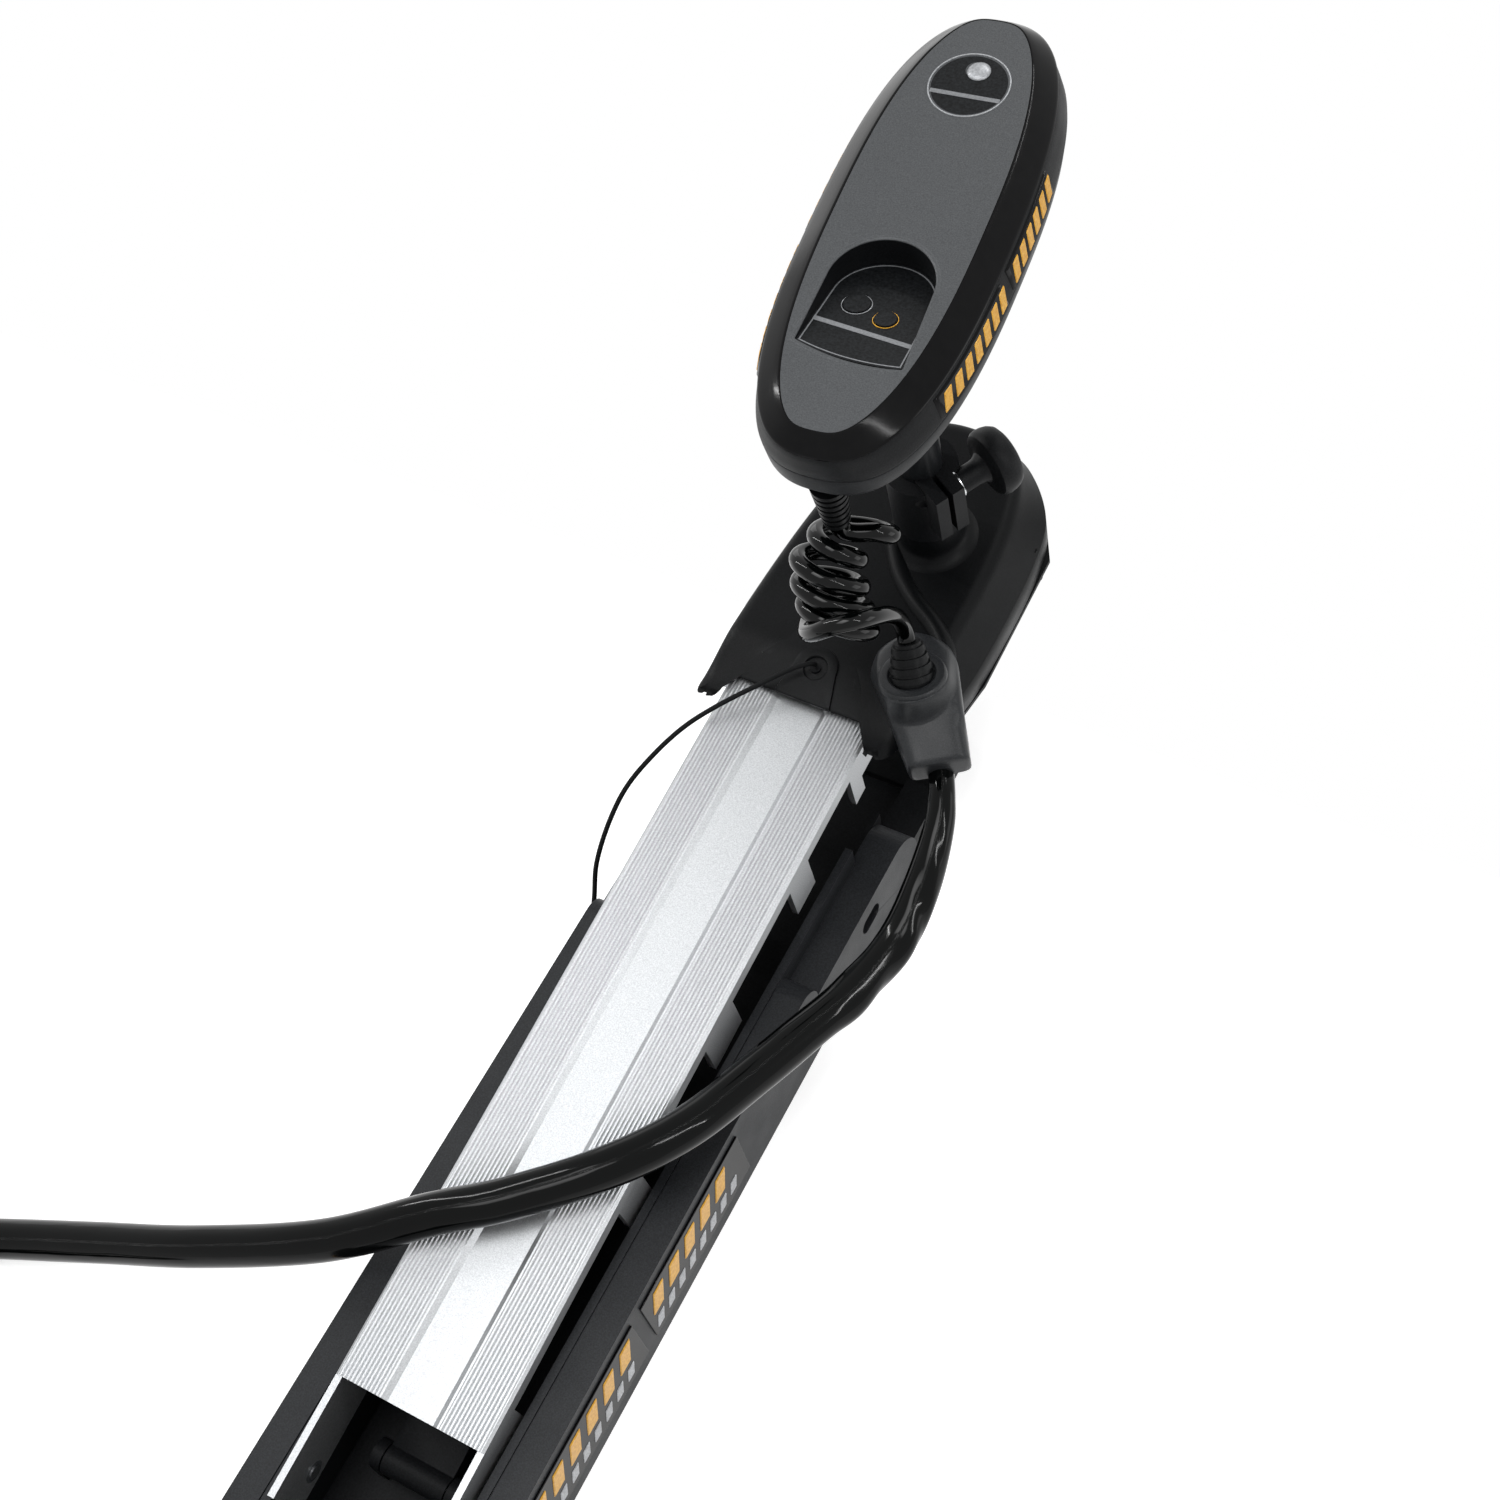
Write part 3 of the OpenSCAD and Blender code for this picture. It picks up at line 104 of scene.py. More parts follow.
def circle(count):
    """Angles of a whole turn in equal steps."""
    return np.linspace(0, 2 * np.pi, count, endpoint=False)


def polar(r, a):
    """Flat points at a radius and an angle."""
    return joined(r * np.cos(a), r * np.sin(a))


def on_deck(p):
    """The outermost frame: millimetres on the deck, in metres."""
    return np.asarray(p, float) * MM


def frame_in(parent, at=(0, 0, 0), *turns):
    """A frame inside another: its points are turned by each (degrees, axis), moved, and handed on."""
    def place(p):
        for degrees, axis in turns:
            p = turned(p, degrees, axis)
        return parent(np.asarray(p, float) + at)
    return place


X, Y, Z = 0, 1, 2
SHAFT_AT, SHAFT_TURN, HEAD_AT = np.array([34, 724, 0]), 5.5, np.array([-10, 0, 283])
on_arm = frame_in(on_deck, (0, -40, 105), (4.9, X))
on_shaft = frame_in(on_arm, SHAFT_AT)
on_turned = frame_in(on_shaft, (0, 0, 0), (SHAFT_TURN, Z))
on_head = frame_in(on_turned, HEAD_AT)
on_collar = frame_in(on_turned, (0, 0, 0), (-36, Z))
on_pod = frame_in(on_turned, (0, 0, -1000))
on_cord_block = frame_in(on_arm, (88, 600, 0), (26, Z))
print("the shaft meets the arm's top at", on_shaft([0, 0, 0]).round(4))

# %% [markdown]
# ## The camera
# The photograph was taken with a long lens from above and behind. Its camera was solved from straight
# edges of the arm, the base and the shaft: three unit vectors give the picture's right, down and
# forward. Blender's camera looks along minus Z with Y up, so the last two change sign.

# %% Camera
PHOTO_AXES = np.array([[0.8732, 0.4697, -0.1301], [0.3407, -0.7792, -0.5261], [-0.3485, 0.4150, -0.8404]])
CAMERA_AT = np.array([530, -178, 1466]) * MM
SENSOR, FOCAL_PIXELS, PHOTO_PIXELS = 36.0, 2145.96, 1500
photo_lens = bpy.data.cameras.new("photo_lens")
photo_lens.sensor_width, photo_lens.lens = SENSOR, SENSOR * FOCAL_PIXELS / PHOTO_PIXELS
photo_lens.clip_end = 50.0
camera = bpy.data.objects.new("photo_camera", photo_lens)
pose = np.eye(4)
pose[:3] = np.column_stack([PHOTO_AXES[0], -PHOTO_AXES[1], -PHOTO_AXES[2], CAMERA_AT])
camera.matrix_world = Matrix(pose.tolist())
scene = bpy.context.scene
scene.collection.objects.link(camera)
scene.camera = camera
scene.view_settings.view_transform = "Standard"
print("lens", round(photo_lens.lens, 2), "mm at", CAMERA_AT)

# %% [markdown]
# ## Colour and shader helpers
# Colours are written as the sRGB hex of a picture editor and turned into the linear light that shaders
# want. One function adds a node with its settings and links. A few more name the nodes that recur, so
# each finish below takes a few lines.

# %% Helpers for finishes
def linear(code):
    """sRGB hex to linear light: c / 12.92 for the darkest values, else ((c + 0.055) / 1.055) ** 2.4."""
    c = np.array([int(code[i:i + 2], 16) for i in (1, 3, 5)]) / 255
    return (*np.where(c <= 0.04045, c / 12.92, ((c + 0.055) / 1.055) ** 2.4).tolist(), 1.0)


def add(tree, kind, values=None, links=None):
    """One node: values go to its sockets or settings, and links join its sockets to other outputs."""
    made = tree.nodes.new(kind)
    for key, value in (values or {}).items():
        if key in made.inputs.keys():
            made.inputs[key].default_value = value
        else:
            setattr(made, key, value)
    for key, source in (links or {}).items():
        tree.links.new(source, made.inputs[key])
    return made


def noise(tree, size, place, **more):
    """Random values with features of a size in mm."""
    return add(tree, "ShaderNodeTexNoise", {"Scale": 1 / (size * MM), "Detail": 2.0, **more},
               {"Vector": place}).outputs["Fac"]


def ranged(tree, source, low, high, span=(0.0, 1.0)):
    """Values carried from a span to the range between low and high, and held inside it."""
    return add(tree, "ShaderNodeMapRange", {"From Min": span[0], "From Max": span[1], "To Min": low,
                                            "To Max": high}, {"Value": source}).outputs["Result"]


def tones(tree, source, dark, light, span):
    """A ramp between two sRGB tones over a span of values."""
    made = add(tree, "ShaderNodeValToRGB", {}, {"Fac": source})
    for stop, at, tone in zip(made.color_ramp.elements, span, (dark, light)):
        stop.position, stop.color = at, linear(tone)
    return made.outputs["Color"]


def bump(tree, source, height, strength=1.0):
    """Relief whose height is given in mm."""
    return add(tree, "ShaderNodeBump", {"Strength": strength, "Distance": height * MM},
               {"Height": source}).outputs["Normal"]


def wire(tree, node, **sources):
    """Links into a node's sockets; underscores in a socket's name stand for spaces."""
    for key, source in sources.items():
        tree.links.new(source, node.inputs[key.replace("_", " ")])


def new_finish(name, **sockets):
    """A material with its shader's own sockets set; underscores stand for spaces here too."""
    made = bpy.data.materials.new(name)
    made.use_nodes = True
    shader = made.node_tree.nodes["Principled BSDF"]
    for key, value in sockets.items():
        shader.inputs[key.replace("_", " ")].default_value = value
    return made, made.node_tree, shader


def grained(name, dark, light, rough, grain, height, shine=0.5, metal=0.0):
    """A surface with a fine random grain, in mm: the grain moves the colour between two tones and
    lifts the surface by height mm, and a slow cloud 40 mm across varies the gloss a little."""
    made, tree, shader = new_finish(name, Specular_IOR_Level=shine, Metallic=metal)
    place = add(tree, "ShaderNodeTexCoord").outputs["Object"]
    grit = noise(tree, grain, place, Detail=3.0, Roughness=0.6)
    wire(tree, shader, Base_Color=tones(tree, grit, dark, light, (0.34, 0.68)),
         Roughness=ranged(tree, noise(tree, 40, place), rough - 0.05, rough + 0.06, (0.3, 0.7)),
         Normal=bump(tree, grit, height))
    return made


print("black #1a1b1d is", np.round(linear("#1a1b1d")[:3], 4), "in linear light")

# %% [markdown]
# ## The moulded and coated finishes
# Most of the object is glass-filled nylon and ABS from steel tools eroded to a fine texture, which
# scatters light and hides scratches. The real grain of about 0.3 mm is drawn about 1 mm coarse, so that
# it shows. The ring round the head comes from a polished tool and mirrors its surroundings, and the
# head's top has a grey metallic coating. After the two tones come roughness, grain, relief and shine.

# %% Moulded plastics, coatings and rubber
textured_black = grained("textured_black_nylon", "#0b0c0d", "#17181a", 0.46, 1.1, 0.10, 0.11)
housing_black = grained("textured_black_housing_nylon", "#070808", "#111214", 0.40, 1.0, 0.08, 0.1)
plate_black = grained("textured_black_plate_nylon", "#17181a", "#25272a", 0.44, 1.1, 0.10, 0.2)
block_black = grained("soft_black_moulded_vinyl", "#1d1e20", "#2c2e30", 0.36, 1.0, 0.05, 0.24)
lower_shell_black = grained("textured_dark_grey_abs", "#121315", "#202224", 0.42, 1.0, 0.08, 0.16)
polished_black = grained("polished_black_abs", "#040405", "#080809", 0.15, 9.0, 0.012, 0.12)
panel_black = grained("grained_black_label_film", "#08090a", "#1d1f21", 0.42, 1.9, 0.2, 0.12)
grey_coating = grained("grey_metallic_coating", "#414345", "#545658", 0.44, 0.9, 0.05, 0.3, metal=0.2)
black_rubber = grained("moulded_black_rubber", "#08090a", "#111213", 0.42, 1.6, 0.06, 0.12)
powder_black = grained("black_powder_coat", "#090a0b", "#141517", 0.5, 1.4, 0.09, 0.1)
knob_black = grained("soft_touch_black_nylon", "#0c0d0e", "#18191b", 0.48, 1.2, 0.07, 0.12)
composite = grained("dark_composite_tube", "#141517", "#1d1f21", 0.38, 1.6, 0.04, 0.15)
bearing_grey = grained("acetal_bearing_plastic", "#2a2c2e", "#393b3d", 0.4, 1.5, 0.03)
board_green = grained("glass_epoxy_board", "#174a2a", "#1f5f37", 0.35, 1.2, 0.03)
print("moulded finishes made:", sum(1 for m in bpy.data.materials if m.use_nodes))

# %% [markdown]
# ## Metals and trim
# The arm is an aluminium extrusion, blasted and clear anodised: bright, satin, with a faint sparkle
# and die lines along its length. Pins and screws are plain steel. The trim is gold and silver paint
# on raised plastic.

# %% Aluminium, steel, bronze, copper and painted trim
satin_aluminium, tree, shader = new_finish("satin_anodised_aluminium", Metallic=1.0)
place = add(tree, "ShaderNodeTexCoord").outputs["Object"]
drawn = add(tree, "ShaderNodeMapping", {"Scale": (1.0, 0.03, 1.0)}, {"Vector": place}).outputs["Vector"]
die_lines, sparkle = noise(tree, 1.4, drawn), noise(tree, 0.9, place)
wire(tree, shader, Base_Color=tones(tree, sparkle, "#a0a2a4", "#b9bbbd", (0.32, 0.7)),
     Roughness=ranged(tree, die_lines, 0.36, 0.5), Normal=bump(tree, sparkle, 0.05, 0.7))
turned_steel = grained("turned_steel", "#8b8d90", "#a9abae", 0.3, 1.3, 0.01, metal=1.0)
bright_chrome = grained("bright_chrome_trim", "#c4c6c8", "#d8d9db", 0.14, 4.0, 0.004, metal=1.0)
gear_bronze = grained("cut_bronze", "#9a7a3a", "#b08f49", 0.35, 1.5, 0.02, metal=1.0)
wound_copper = grained("varnished_copper_winding", "#8a4f24", "#b5733a", 0.4, 1.2, 0.2, metal=0.8)
gold_paint = grained("gold_painted_trim", "#d0931a", "#eab440", 0.36, 2.2, 0.03)
silver_paint = grained("silver_painted_trim", "#8f9194", "#b3b5b8", 0.38, 1.5, 0.02, metal=0.5)
grey_paint = grained("grey_painted_trim", "#6d6f72", "#85878a", 0.4, 1.3, 0.02)
print("metals and paints made")

# %% [markdown]
# ## The sheath of the cords
# The power lead has a soft vinyl sleeve and the curly cord a polyurethane jacket, both glossy, with long
# highlights that waver where the sleeve is loose. Slow waves, longer along the cord than across it,
# follow the piece's own UV map in metres. The pull cord's braid is the same, but dull and finer.

# %% Vinyl, polyurethane and braid
def sheath(name, tone, rough, wave, height, shine):
    """Cord plastic: noise stretched four times along the cord's own UV map lifts the surface."""
    made, tree, shader = new_finish(name, Base_Color=linear(tone), Specular_IOR_Level=shine)
    cord_uv = add(tree, "ShaderNodeUVMap", {"uv_map": "along"}).outputs["UV"]
    longer = add(tree, "ShaderNodeMapping", {"Scale": (0.25, 1.0, 1.0)}, {"Vector": cord_uv})
    waver = noise(tree, wave, longer.outputs["Vector"])
    wire(tree, shader, Roughness=ranged(tree, waver, rough - 0.03, rough + 0.05),
         Normal=bump(tree, waver, height))
    return made


vinyl_sleeve = sheath("glossy_black_vinyl", "#030404", 0.09, 14.0, 0.5, 0.13)
jacket_black = sheath("glossy_black_polyurethane", "#020303", 0.07, 9.0, 0.03, 0.2)
braided_black = sheath("black_braided_polyester", "#0e0f10", 0.6, 1.5, 0.25, 0.11)
print("cord finishes made")

# %% [markdown]
# ## From arrays to meshes
# A piece is a grid of points: each row is one section from a formula, quads join neighbouring rows, and
# the end rows can be closed. A UV map in metres, along the rows and round them, is kept for patterns
# that follow the surface.

# %% Grid to mesh
OPEN = (False, False)


def skin(name, rows, body, finish, wrap=True, caps=(True, True), crease=32, stands_for=None):
    """Quads between neighbouring rows of points (rows x columns x 3, in metres); wrap closes each row."""
    rows = np.asarray(rows, float)
    count, around = rows.shape[:2]
    index = np.arange(count * around).reshape(count, around)
    right = np.roll(index, -1, axis=1)
    quads = joined(index[:-1], right[:-1], right[1:], index[1:])
    quads = (quads if wrap else quads[:, :-1]).reshape(-1, 4).tolist()
    ends = [index[k].tolist() for k, closed in zip((0, -1), caps) if closed and wrap]
    mesh = bpy.data.meshes.new(name)
    mesh.from_pydata(rows.reshape(-1, 3).tolist(), [], quads + ends)
    step = np.linalg.norm(np.diff(rows, axis=0), axis=2).mean(axis=1)
    girth = np.linalg.norm(np.diff(rows, axis=1), axis=2).sum(axis=1).mean()
    far = np.r_[0, np.cumsum(step)]
    grid = np.stack(np.meshgrid(far, np.linspace(0, girth, around), indexing="ij"), axis=-1).reshape(-1, 2)
    corner = np.zeros(len(mesh.loops), np.int32)
    mesh.loops.foreach_get("vertex_index", corner)
    mesh.uv_layers.new(name="along").data.foreach_set("uv", grid[corner].ravel())
    return settle(name, mesh, body, finish, crease, stands_for)


def settle(name, mesh, body, finish, crease, stands_for):
    """Merges doubles and turns the faces outwards, then makes the mesh a piece."""
    work = bmesh.new()
    work.from_mesh(mesh)
    bmesh.ops.remove_doubles(work, verts=work.verts, dist=2e-6)
    bmesh.ops.recalc_face_normals(work, faces=work.faces)
    work.to_mesh(mesh)
    work.free()
    return piece_of(name, mesh, body, finish, crease, stands_for)


def piece_of(name, mesh, body, finish, crease, stands_for):
    """A mesh, smooth up to the crease angle, as a piece that rides on a body, if one is named."""
    mesh.shade_smooth()
    mesh.set_sharp_from_angle(angle=np.radians(crease))
    mesh.materials.append(finish)
    piece = bpy.data.objects.new(name, mesh)
    scene.collection.objects.link(piece)
    if body:
        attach(piece, body)
    if stands_for:
        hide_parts(stands_for)
    return piece


def patches(name, grids, body, finish, stands_for=None):
    """Several grids of points (patches x rows x columns x 3, in metres) as one mesh of open patches."""
    grids = np.asarray(grids, float)
    index = np.arange(grids[..., 0].size).reshape(grids.shape[:3])
    quads = joined(index[:, :-1, :-1], index[:, :-1, 1:], index[:, 1:, 1:], index[:, 1:, :-1])
    mesh = bpy.data.meshes.new(name)
    mesh.from_pydata(grids.reshape(-1, 3).tolist(), [], quads.reshape(-1, 4).tolist())
    return settle(name, mesh, body, finish, 40, stands_for)


def spun(name, profile, place, body, finish, sides=64, **more):
    """A profile of (radius, height) pairs in mm, spun round the local Z axis of a frame."""
    r, z = columns(profile)
    return skin(name, place(raised(polar(r[:, 0], circle(sides)), z)), body, finish, **more)


def columns(table):
    """The columns of a table, each shaped to meet rows of points: one value for each row."""
    return np.asarray(table, float).T[..., None, None]


def raised(flat, z):
    """Rows of flat points with a height."""
    return np.concatenate([flat, np.broadcast_to(z, (*flat.shape[:-1], 1))], axis=-1)


print("mesh helpers ready")

# %% [markdown]
# ## Routes for cords
# A cord follows a Catmull-Rom spline through the few points where it lies on something. The tube's rings
# turn as little as possible from one to the next, so that the surface doesn't twist.

# %% Splines and tubes
def catmull(a, b, c, d, t):
    """Catmull-Rom cubic from b to c: its slope at each of them joins the neighbours on both sides."""
    return 0.5 * (2 * b + (c - a) * t + (2 * a - 5 * b + 4 * c - d) * t**2 + (3 * b - a - 3 * c + d) * t**3)


def through(points, steps):
    """A smooth curve through points, in mm, with so many steps from each to the next."""
    p = np.asarray(points, float)
    a, b, c, d = (p[np.clip(np.arange(len(p) - 1) + k, 0, len(p) - 1)][:, None, :] for k in (-1, 0, 1, 2))
    curve = catmull(a, b, c, d, np.linspace(0, 1, steps, endpoint=False)[None, :, None])
    return np.r_[curve.reshape(-1, 3), p[-1:]]


def tube_rows(path, radius, sides, start=(0, 0, 1)):
    """Rings round a path: each ring's first direction is the last one's, made square to the path again."""
    way = np.gradient(path, axis=0)
    way /= np.linalg.norm(way, axis=1)[:, None]
    first = np.empty_like(path)
    now = np.array(start, float)
    for i, w in enumerate(way):
        now = now - (now @ w) * w
        now = now / np.linalg.norm(now)
        first[i] = now
    second = np.cross(way, first)[:, None]
    a = circle(sides)[None, :, None]
    r = np.broadcast_to(radius, (len(path), sides))[..., None]
    return path[:, None] + r * (np.cos(a) * first[:, None] + np.sin(a) * second)


def far_along(path):
    """How far each point of a route is from its start: the running sum of the steps."""
    return np.r_[0, np.cumsum(np.linalg.norm(np.diff(path, axis=0), axis=1))]


def length_of(path):
    return float(far_along(path)[-1])


print("a test curve of 10 mm measures", length_of(through([[0, 0, 0], [5, 0, 0], [10, 0, 0]], 8)), "mm")

# %% [markdown]
# ## The power lead
# A fat sleeve, 30 mm across, holds the battery cables. It leaves the cord block, drops beside the arm,
# crosses its ridges and goes to port along the deck. What the picture doesn't show is put away in about
# one wide turn, with its plug. The sleeve is loose, so its radius wavers: shallow folds run across it
# where it bends, and die away along the deck.

# %% Power lead and its put-away turn
SLEEVE_R, SLEEVE_SIDES, COIL_TURNS, COIL_AT = 14.75, 48, 1.1, (-472, -285)
lead_in = on_cord_block([[8, -58.2, -4], [8, -76, -4]]) / MM
lead_lie = [[135, 474, 139], [139, 436, 121], [138, 396, 108], [128, 350, 104], [116, 318, 106],
            [98, 262, 116], [78, 200, 132], [46, 150, 141], [-4, 104, 138], [-46, 74, 134], [-112, 30, 114],
            [-206, -8, 82], [-290, -34, 52], [-375, -62, 27], [-450, -92, 16]]
turns = np.linspace(0, COIL_TURNS, 90)
coil_r, coil_a = 176 - 52 * turns, np.radians(109.4 + 360 * turns)
lead_turn = raised(polar(coil_r, coil_a) + COIL_AT, 15.2)
lead_path = np.r_[through(np.r_[lead_in, lead_lie, lead_turn[:1]], 16), lead_turn[1:]]
s = far_along(lead_path)[:, None]
a = circle(SLEEVE_SIDES)[None, :]
folds = np.exp(-((s - 125) / 75) ** 2)
waver = 0.25 * np.sin(s / 61 + np.sin(a)) + 0.15 * np.sin(s / 23 + 2 * a)
crease_wave = np.sin(s / 10.5 + 2.6 * np.sin(a + s / 60)) * np.clip(np.sin(2 * a + s / 36), 0, 1)
neck = 5.2 * np.exp(-((s / 62) ** 2))
lead_radius = SLEEVE_R - neck + 0.35 * waver + 1.7 * folds * (crease_wave - 0.35)
lead_rows = on_deck(tube_rows(lead_path, lead_radius, SLEEVE_SIDES))
meet = int(np.argmin(np.abs(lead_path[:, 1] - 290) + 1e3 * (lead_path[:, 0] < 60)))
upper_sleeve = skin("power_lead_upper", lead_rows[:meet + 1], None, vinyl_sleeve, crease=60, caps=(True, False))
lower_sleeve = skin("power_lead_lower", lead_rows[meet:], None, vinyl_sleeve, crease=60, caps=(False, True))
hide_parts("power_lead", "lead_coil")
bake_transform(upper_sleeve, "outer_arm", "housing", tuple(lead_path[meet] * MM), tuple(lead_path[0] * MM))
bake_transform(lower_sleeve, "mount_base", "outer_arm", (-0.30, -0.03, 0.05), tuple(lead_path[meet] * MM))
print("power lead", round(length_of(lead_path)), "mm")

# %% [markdown]
# The plug is a two-pin moulding on the lead's end, easy to spin: a tapered neck, a body with two grip
# grooves, and a flat face with its pins.

# %% Plug on the lead's end
plug_way = lead_turn[-1] - lead_turn[-2]
plug_turn = np.degrees(np.arctan2(plug_way[1], plug_way[0])) - 90
on_plug = frame_in(on_deck, (*lead_turn[-1][:2], 18.2), (-90, X), (plug_turn, Z))
plug_profile = [(0, 0.2), (14.6, 0.2), (15, 1), (15, 8), (16, 13), (17.6, 15), (17.8, 20), (17, 21), (17, 23),
                (17.8, 24), (17.8, 30), (17, 31), (17, 33), (17.8, 34), (17.8, 53), (16.8, 55.6), (0, 55.8)]
plug_body = spun("plug_body", plug_profile, on_plug, "mount_base", knob_black, stands_for="power_plug")
pin_profile = [(0, 55), (3, 55), (3, 66.6), (2.4, 67.8), (0, 67.9)]
plug_pins = [spun(f"plug_pin_{k}", pin_profile, frame_in(on_plug, (x, 0, 0)), "mount_base", turned_steel,
                  sides=24) for k, x in enumerate((-7, 7))]
print("plug at", on_plug([0, 0, 0]).round(3))

# %% [markdown]
# ## The curly control cord
# A coiled polyurethane cord joins the head to the housing and stretches when the head turns or rises.
# Its centre line is a helix of nearly five turns that lean over, almost edge on to the camera, and lie
# close without touching. The middle of each turn is one point of a list, and curves at both ends lead
# into the strain reliefs. The cord crosses two joints, so two pieces meet inside the coil, where both
# ride on the steering sleeve.

# %% Curly cord
def arc(a, b, c, d, steps):
    """Cubic Bezier curve: its ends are a and d, and b and c pull it from both sides."""
    t = np.linspace(0, 1, steps)[:, None]
    return (1 - t) ** 3 * a + 3 * (1 - t) ** 2 * t * b + 3 * (1 - t) * t**2 * c + t**3 * d


def curl_between(values, turn):
    """A smooth value at each turn, from values that stand at whole turns."""
    v = np.asarray(values, float).reshape(len(values), -1)
    i = np.clip(np.floor(turn).astype(int), 0, len(v) - 2)
    return catmull(*(v[np.clip(i + k, 0, len(v) - 1)] for k in (-1, 0, 1, 2)), (turn - i)[:, None])


TURN_WIDE, TURN_DEEP = [0.938, 0.222, -0.268], [0.347, -0.638, 0.688]
RELIEF_LEAN, RELIEF_HEADING, RELIEF_LONG = np.radians(40), np.radians(122), 27.1
cord_top = turned(HEAD_AT + [-3.5, -104, -103.1], SHAFT_TURN, Z) + SHAFT_AT
block_way = np.array([np.sin(RELIEF_LEAN) * np.cos(RELIEF_HEADING),
                      np.sin(RELIEF_LEAN) * np.sin(RELIEF_HEADING), np.cos(RELIEF_LEAN)])
cord_end = np.array([81.5, 595.5, 40]) + RELIEF_LONG * block_way
turn = np.linspace(0.08, 4.75, 300)
middle = curl_between([[39, 641, 153], [29, 614, 156], [28, 600, 143], [33, 592, 127], [37, 586, 111],
                       [40, 580, 96]], turn)
reach = 23 + curl_between([-1, -5, -0.5, 0, 0, 0], turn)
angle = np.radians(90 - 360 * turn)[:, None]
curls = middle + reach * (np.cos(angle) * TURN_WIDE + np.sin(angle) * TURN_DEEP)
first_way, last_way, run_way = (np.asarray(v) / np.linalg.norm(v) for v in (
    curls[1] - curls[0], curls[-1] - curls[-2], [0.79, 0.61, -0.08]))
run_mid, drop = np.array([62, 566, 151.0]), np.array([0, 0, -1.0])
lead_off = np.r_[[cord_top], arc(cord_top + 1.5 * drop, cord_top + 21.5 * drop, curls[0] - 10 * first_way,
                                 curls[0], 30)[:-1]]
curl_path = np.r_[
    lead_off, curls,
    arc(curls[-1], curls[-1] + 36 * last_way, run_mid - 20 * run_way, run_mid, 40)[1:],
    arc(run_mid, run_mid + 24 * run_way, cord_end + 28.5 * block_way, cord_end + 1.5 * block_way, 40)[1:],
    [cord_end]]
curl_rows = on_arm(tube_rows(curl_path, 6.5, 28, (1, 0, 0)))
seam = len(lead_off) + int(np.argmin(np.abs(turn - 2.5)))
upper_curls = skin("curly_cord_upper", curl_rows[:seam + 1], None, jacket_black, crease=60, caps=(True, False))
lower_curls = skin("curly_cord_lower", curl_rows[seam:], None, jacket_black, crease=60, caps=(False, True),
                   stands_for="coil_cord")
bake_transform(upper_curls, "steering", "motor", tuple(on_arm(curl_path[seam] + [0, 0, 9])), tuple(on_arm(cord_top)))
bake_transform(lower_curls, "housing", "steering", tuple(on_arm(cord_end)),
         tuple(on_arm(0.5 * cord_end + 0.5 * cord_top)))
tuple(on_arm(cord_top))
on_arm(curl_path[:seam + 1]).tolist()
tuple(on_arm(curl_path[seam]))
on_arm(curl_path[seam:]).tolist()
print("curly cord", round(length_of(curl_path)), "mm of cord in", round(float(np.ptp(turn)), 1), "turns")

# %% [markdown]
# ## The pull cord
# A thin braided cord lifts the latch that holds the arm down. It comes out of the keyhole on the
# housing, springs over the port edge and ends in a small grip on the deck. Its first 25 mm follow the
# latch, and the rest follows the housing.

# %% Pull cord and grip
GRIP_AT = (-102, 298, 6)
pull_path = through([[3, 545.2, 172], [1, 541, 178], [-9, 532, 178], [-27, 516, 170], [-52, 491, 160],
                     [-71, 470, 149], [-86, 446, 136], [-98, 421, 120], [-104, 397, 100], [-106, 373, 76],
                     [-104, 356, 50], [-102.5, 338, 24], [-102, 318, 9], GRIP_AT], 12)
pull_line = skin("pull_cord_braid", on_deck(tube_rows(pull_path, 1.9, 14)), None, braided_black, crease=60,
                 stands_for="pull_cord")
grip_profile = [(0, 0.1), (3, 0.2), (4.2, 2), (5, 6), (4.4, 12), (4.9, 18), (4.4, 24), (4.9, 30), (4.4, 36),
                (4.9, 42), (5, 50), (4, 54.6), (0, 56)]
pull_handle = spun("pull_grip_moulding", grip_profile, frame_in(on_deck, GRIP_AT, (90, X)), "housing",
                   black_rubber, sides=32, stands_for="pull_grip")
leaves_latch = pull_path[np.argmax(far_along(pull_path) > 25)]
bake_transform(pull_line, "latch", "housing", tuple(pull_path[0] * MM), tuple(leaves_latch * MM))
print("pull cord", round(length_of(pull_path)), "mm")

# %% [markdown]
# ## The stage
# The mount bolts to a bow deck and the motor hangs in front of it, so the stage is a plain white deck
# that ends just behind the shaft. The background is white: the world shows white to the camera and to
# reflections, and lights everything else a little less.

# %% Deck and world
def seen_by(tree, low, high, *kinds):
    """A strength of high for these kinds of rays and of low for the others: their flags are added up."""
    flags = add(tree, "ShaderNodeLightPath").outputs
    total = flags[kinds[0]]
    for kind in kinds[1:]:
        total = add(tree, "ShaderNodeMath", {"operation": "ADD"}, {0: total, 1: flags[kind]}).outputs["Value"]
    return ranged(tree, total, low, high)


DECK_END, DECK_THICK = 0.672, 0.03
white_deck, tree, shader = new_finish("white_painted_deck", Base_Color=linear("#e6e6e6"), Roughness=0.9,
                                      Specular_IOR_Level=0.0, Emission_Color=(1, 1, 1, 1))
wire(tree, shader, Emission_Strength=seen_by(tree, 0.0, 0.62, "Is Camera Ray", "Is Glossy Ray"))
u, v = np.meshgrid([-2.4, 1.6], [-2.0, DECK_END])
top = joined(u, v, 0).reshape(-1, 3)
deck_mesh = bpy.data.meshes.new("stage_deck")
deck_mesh.from_pydata(np.r_[top, top - [0, 0, DECK_THICK]].tolist(), [],
                      [[0, 1, 3, 2], [4, 6, 7, 5], [0, 4, 5, 1], [1, 5, 7, 3], [3, 7, 6, 2], [2, 6, 4, 0]])
deck_mesh.materials.append(white_deck)
deck = bpy.data.objects.new("stage_deck", deck_mesh)
scene.collection.objects.link(deck)

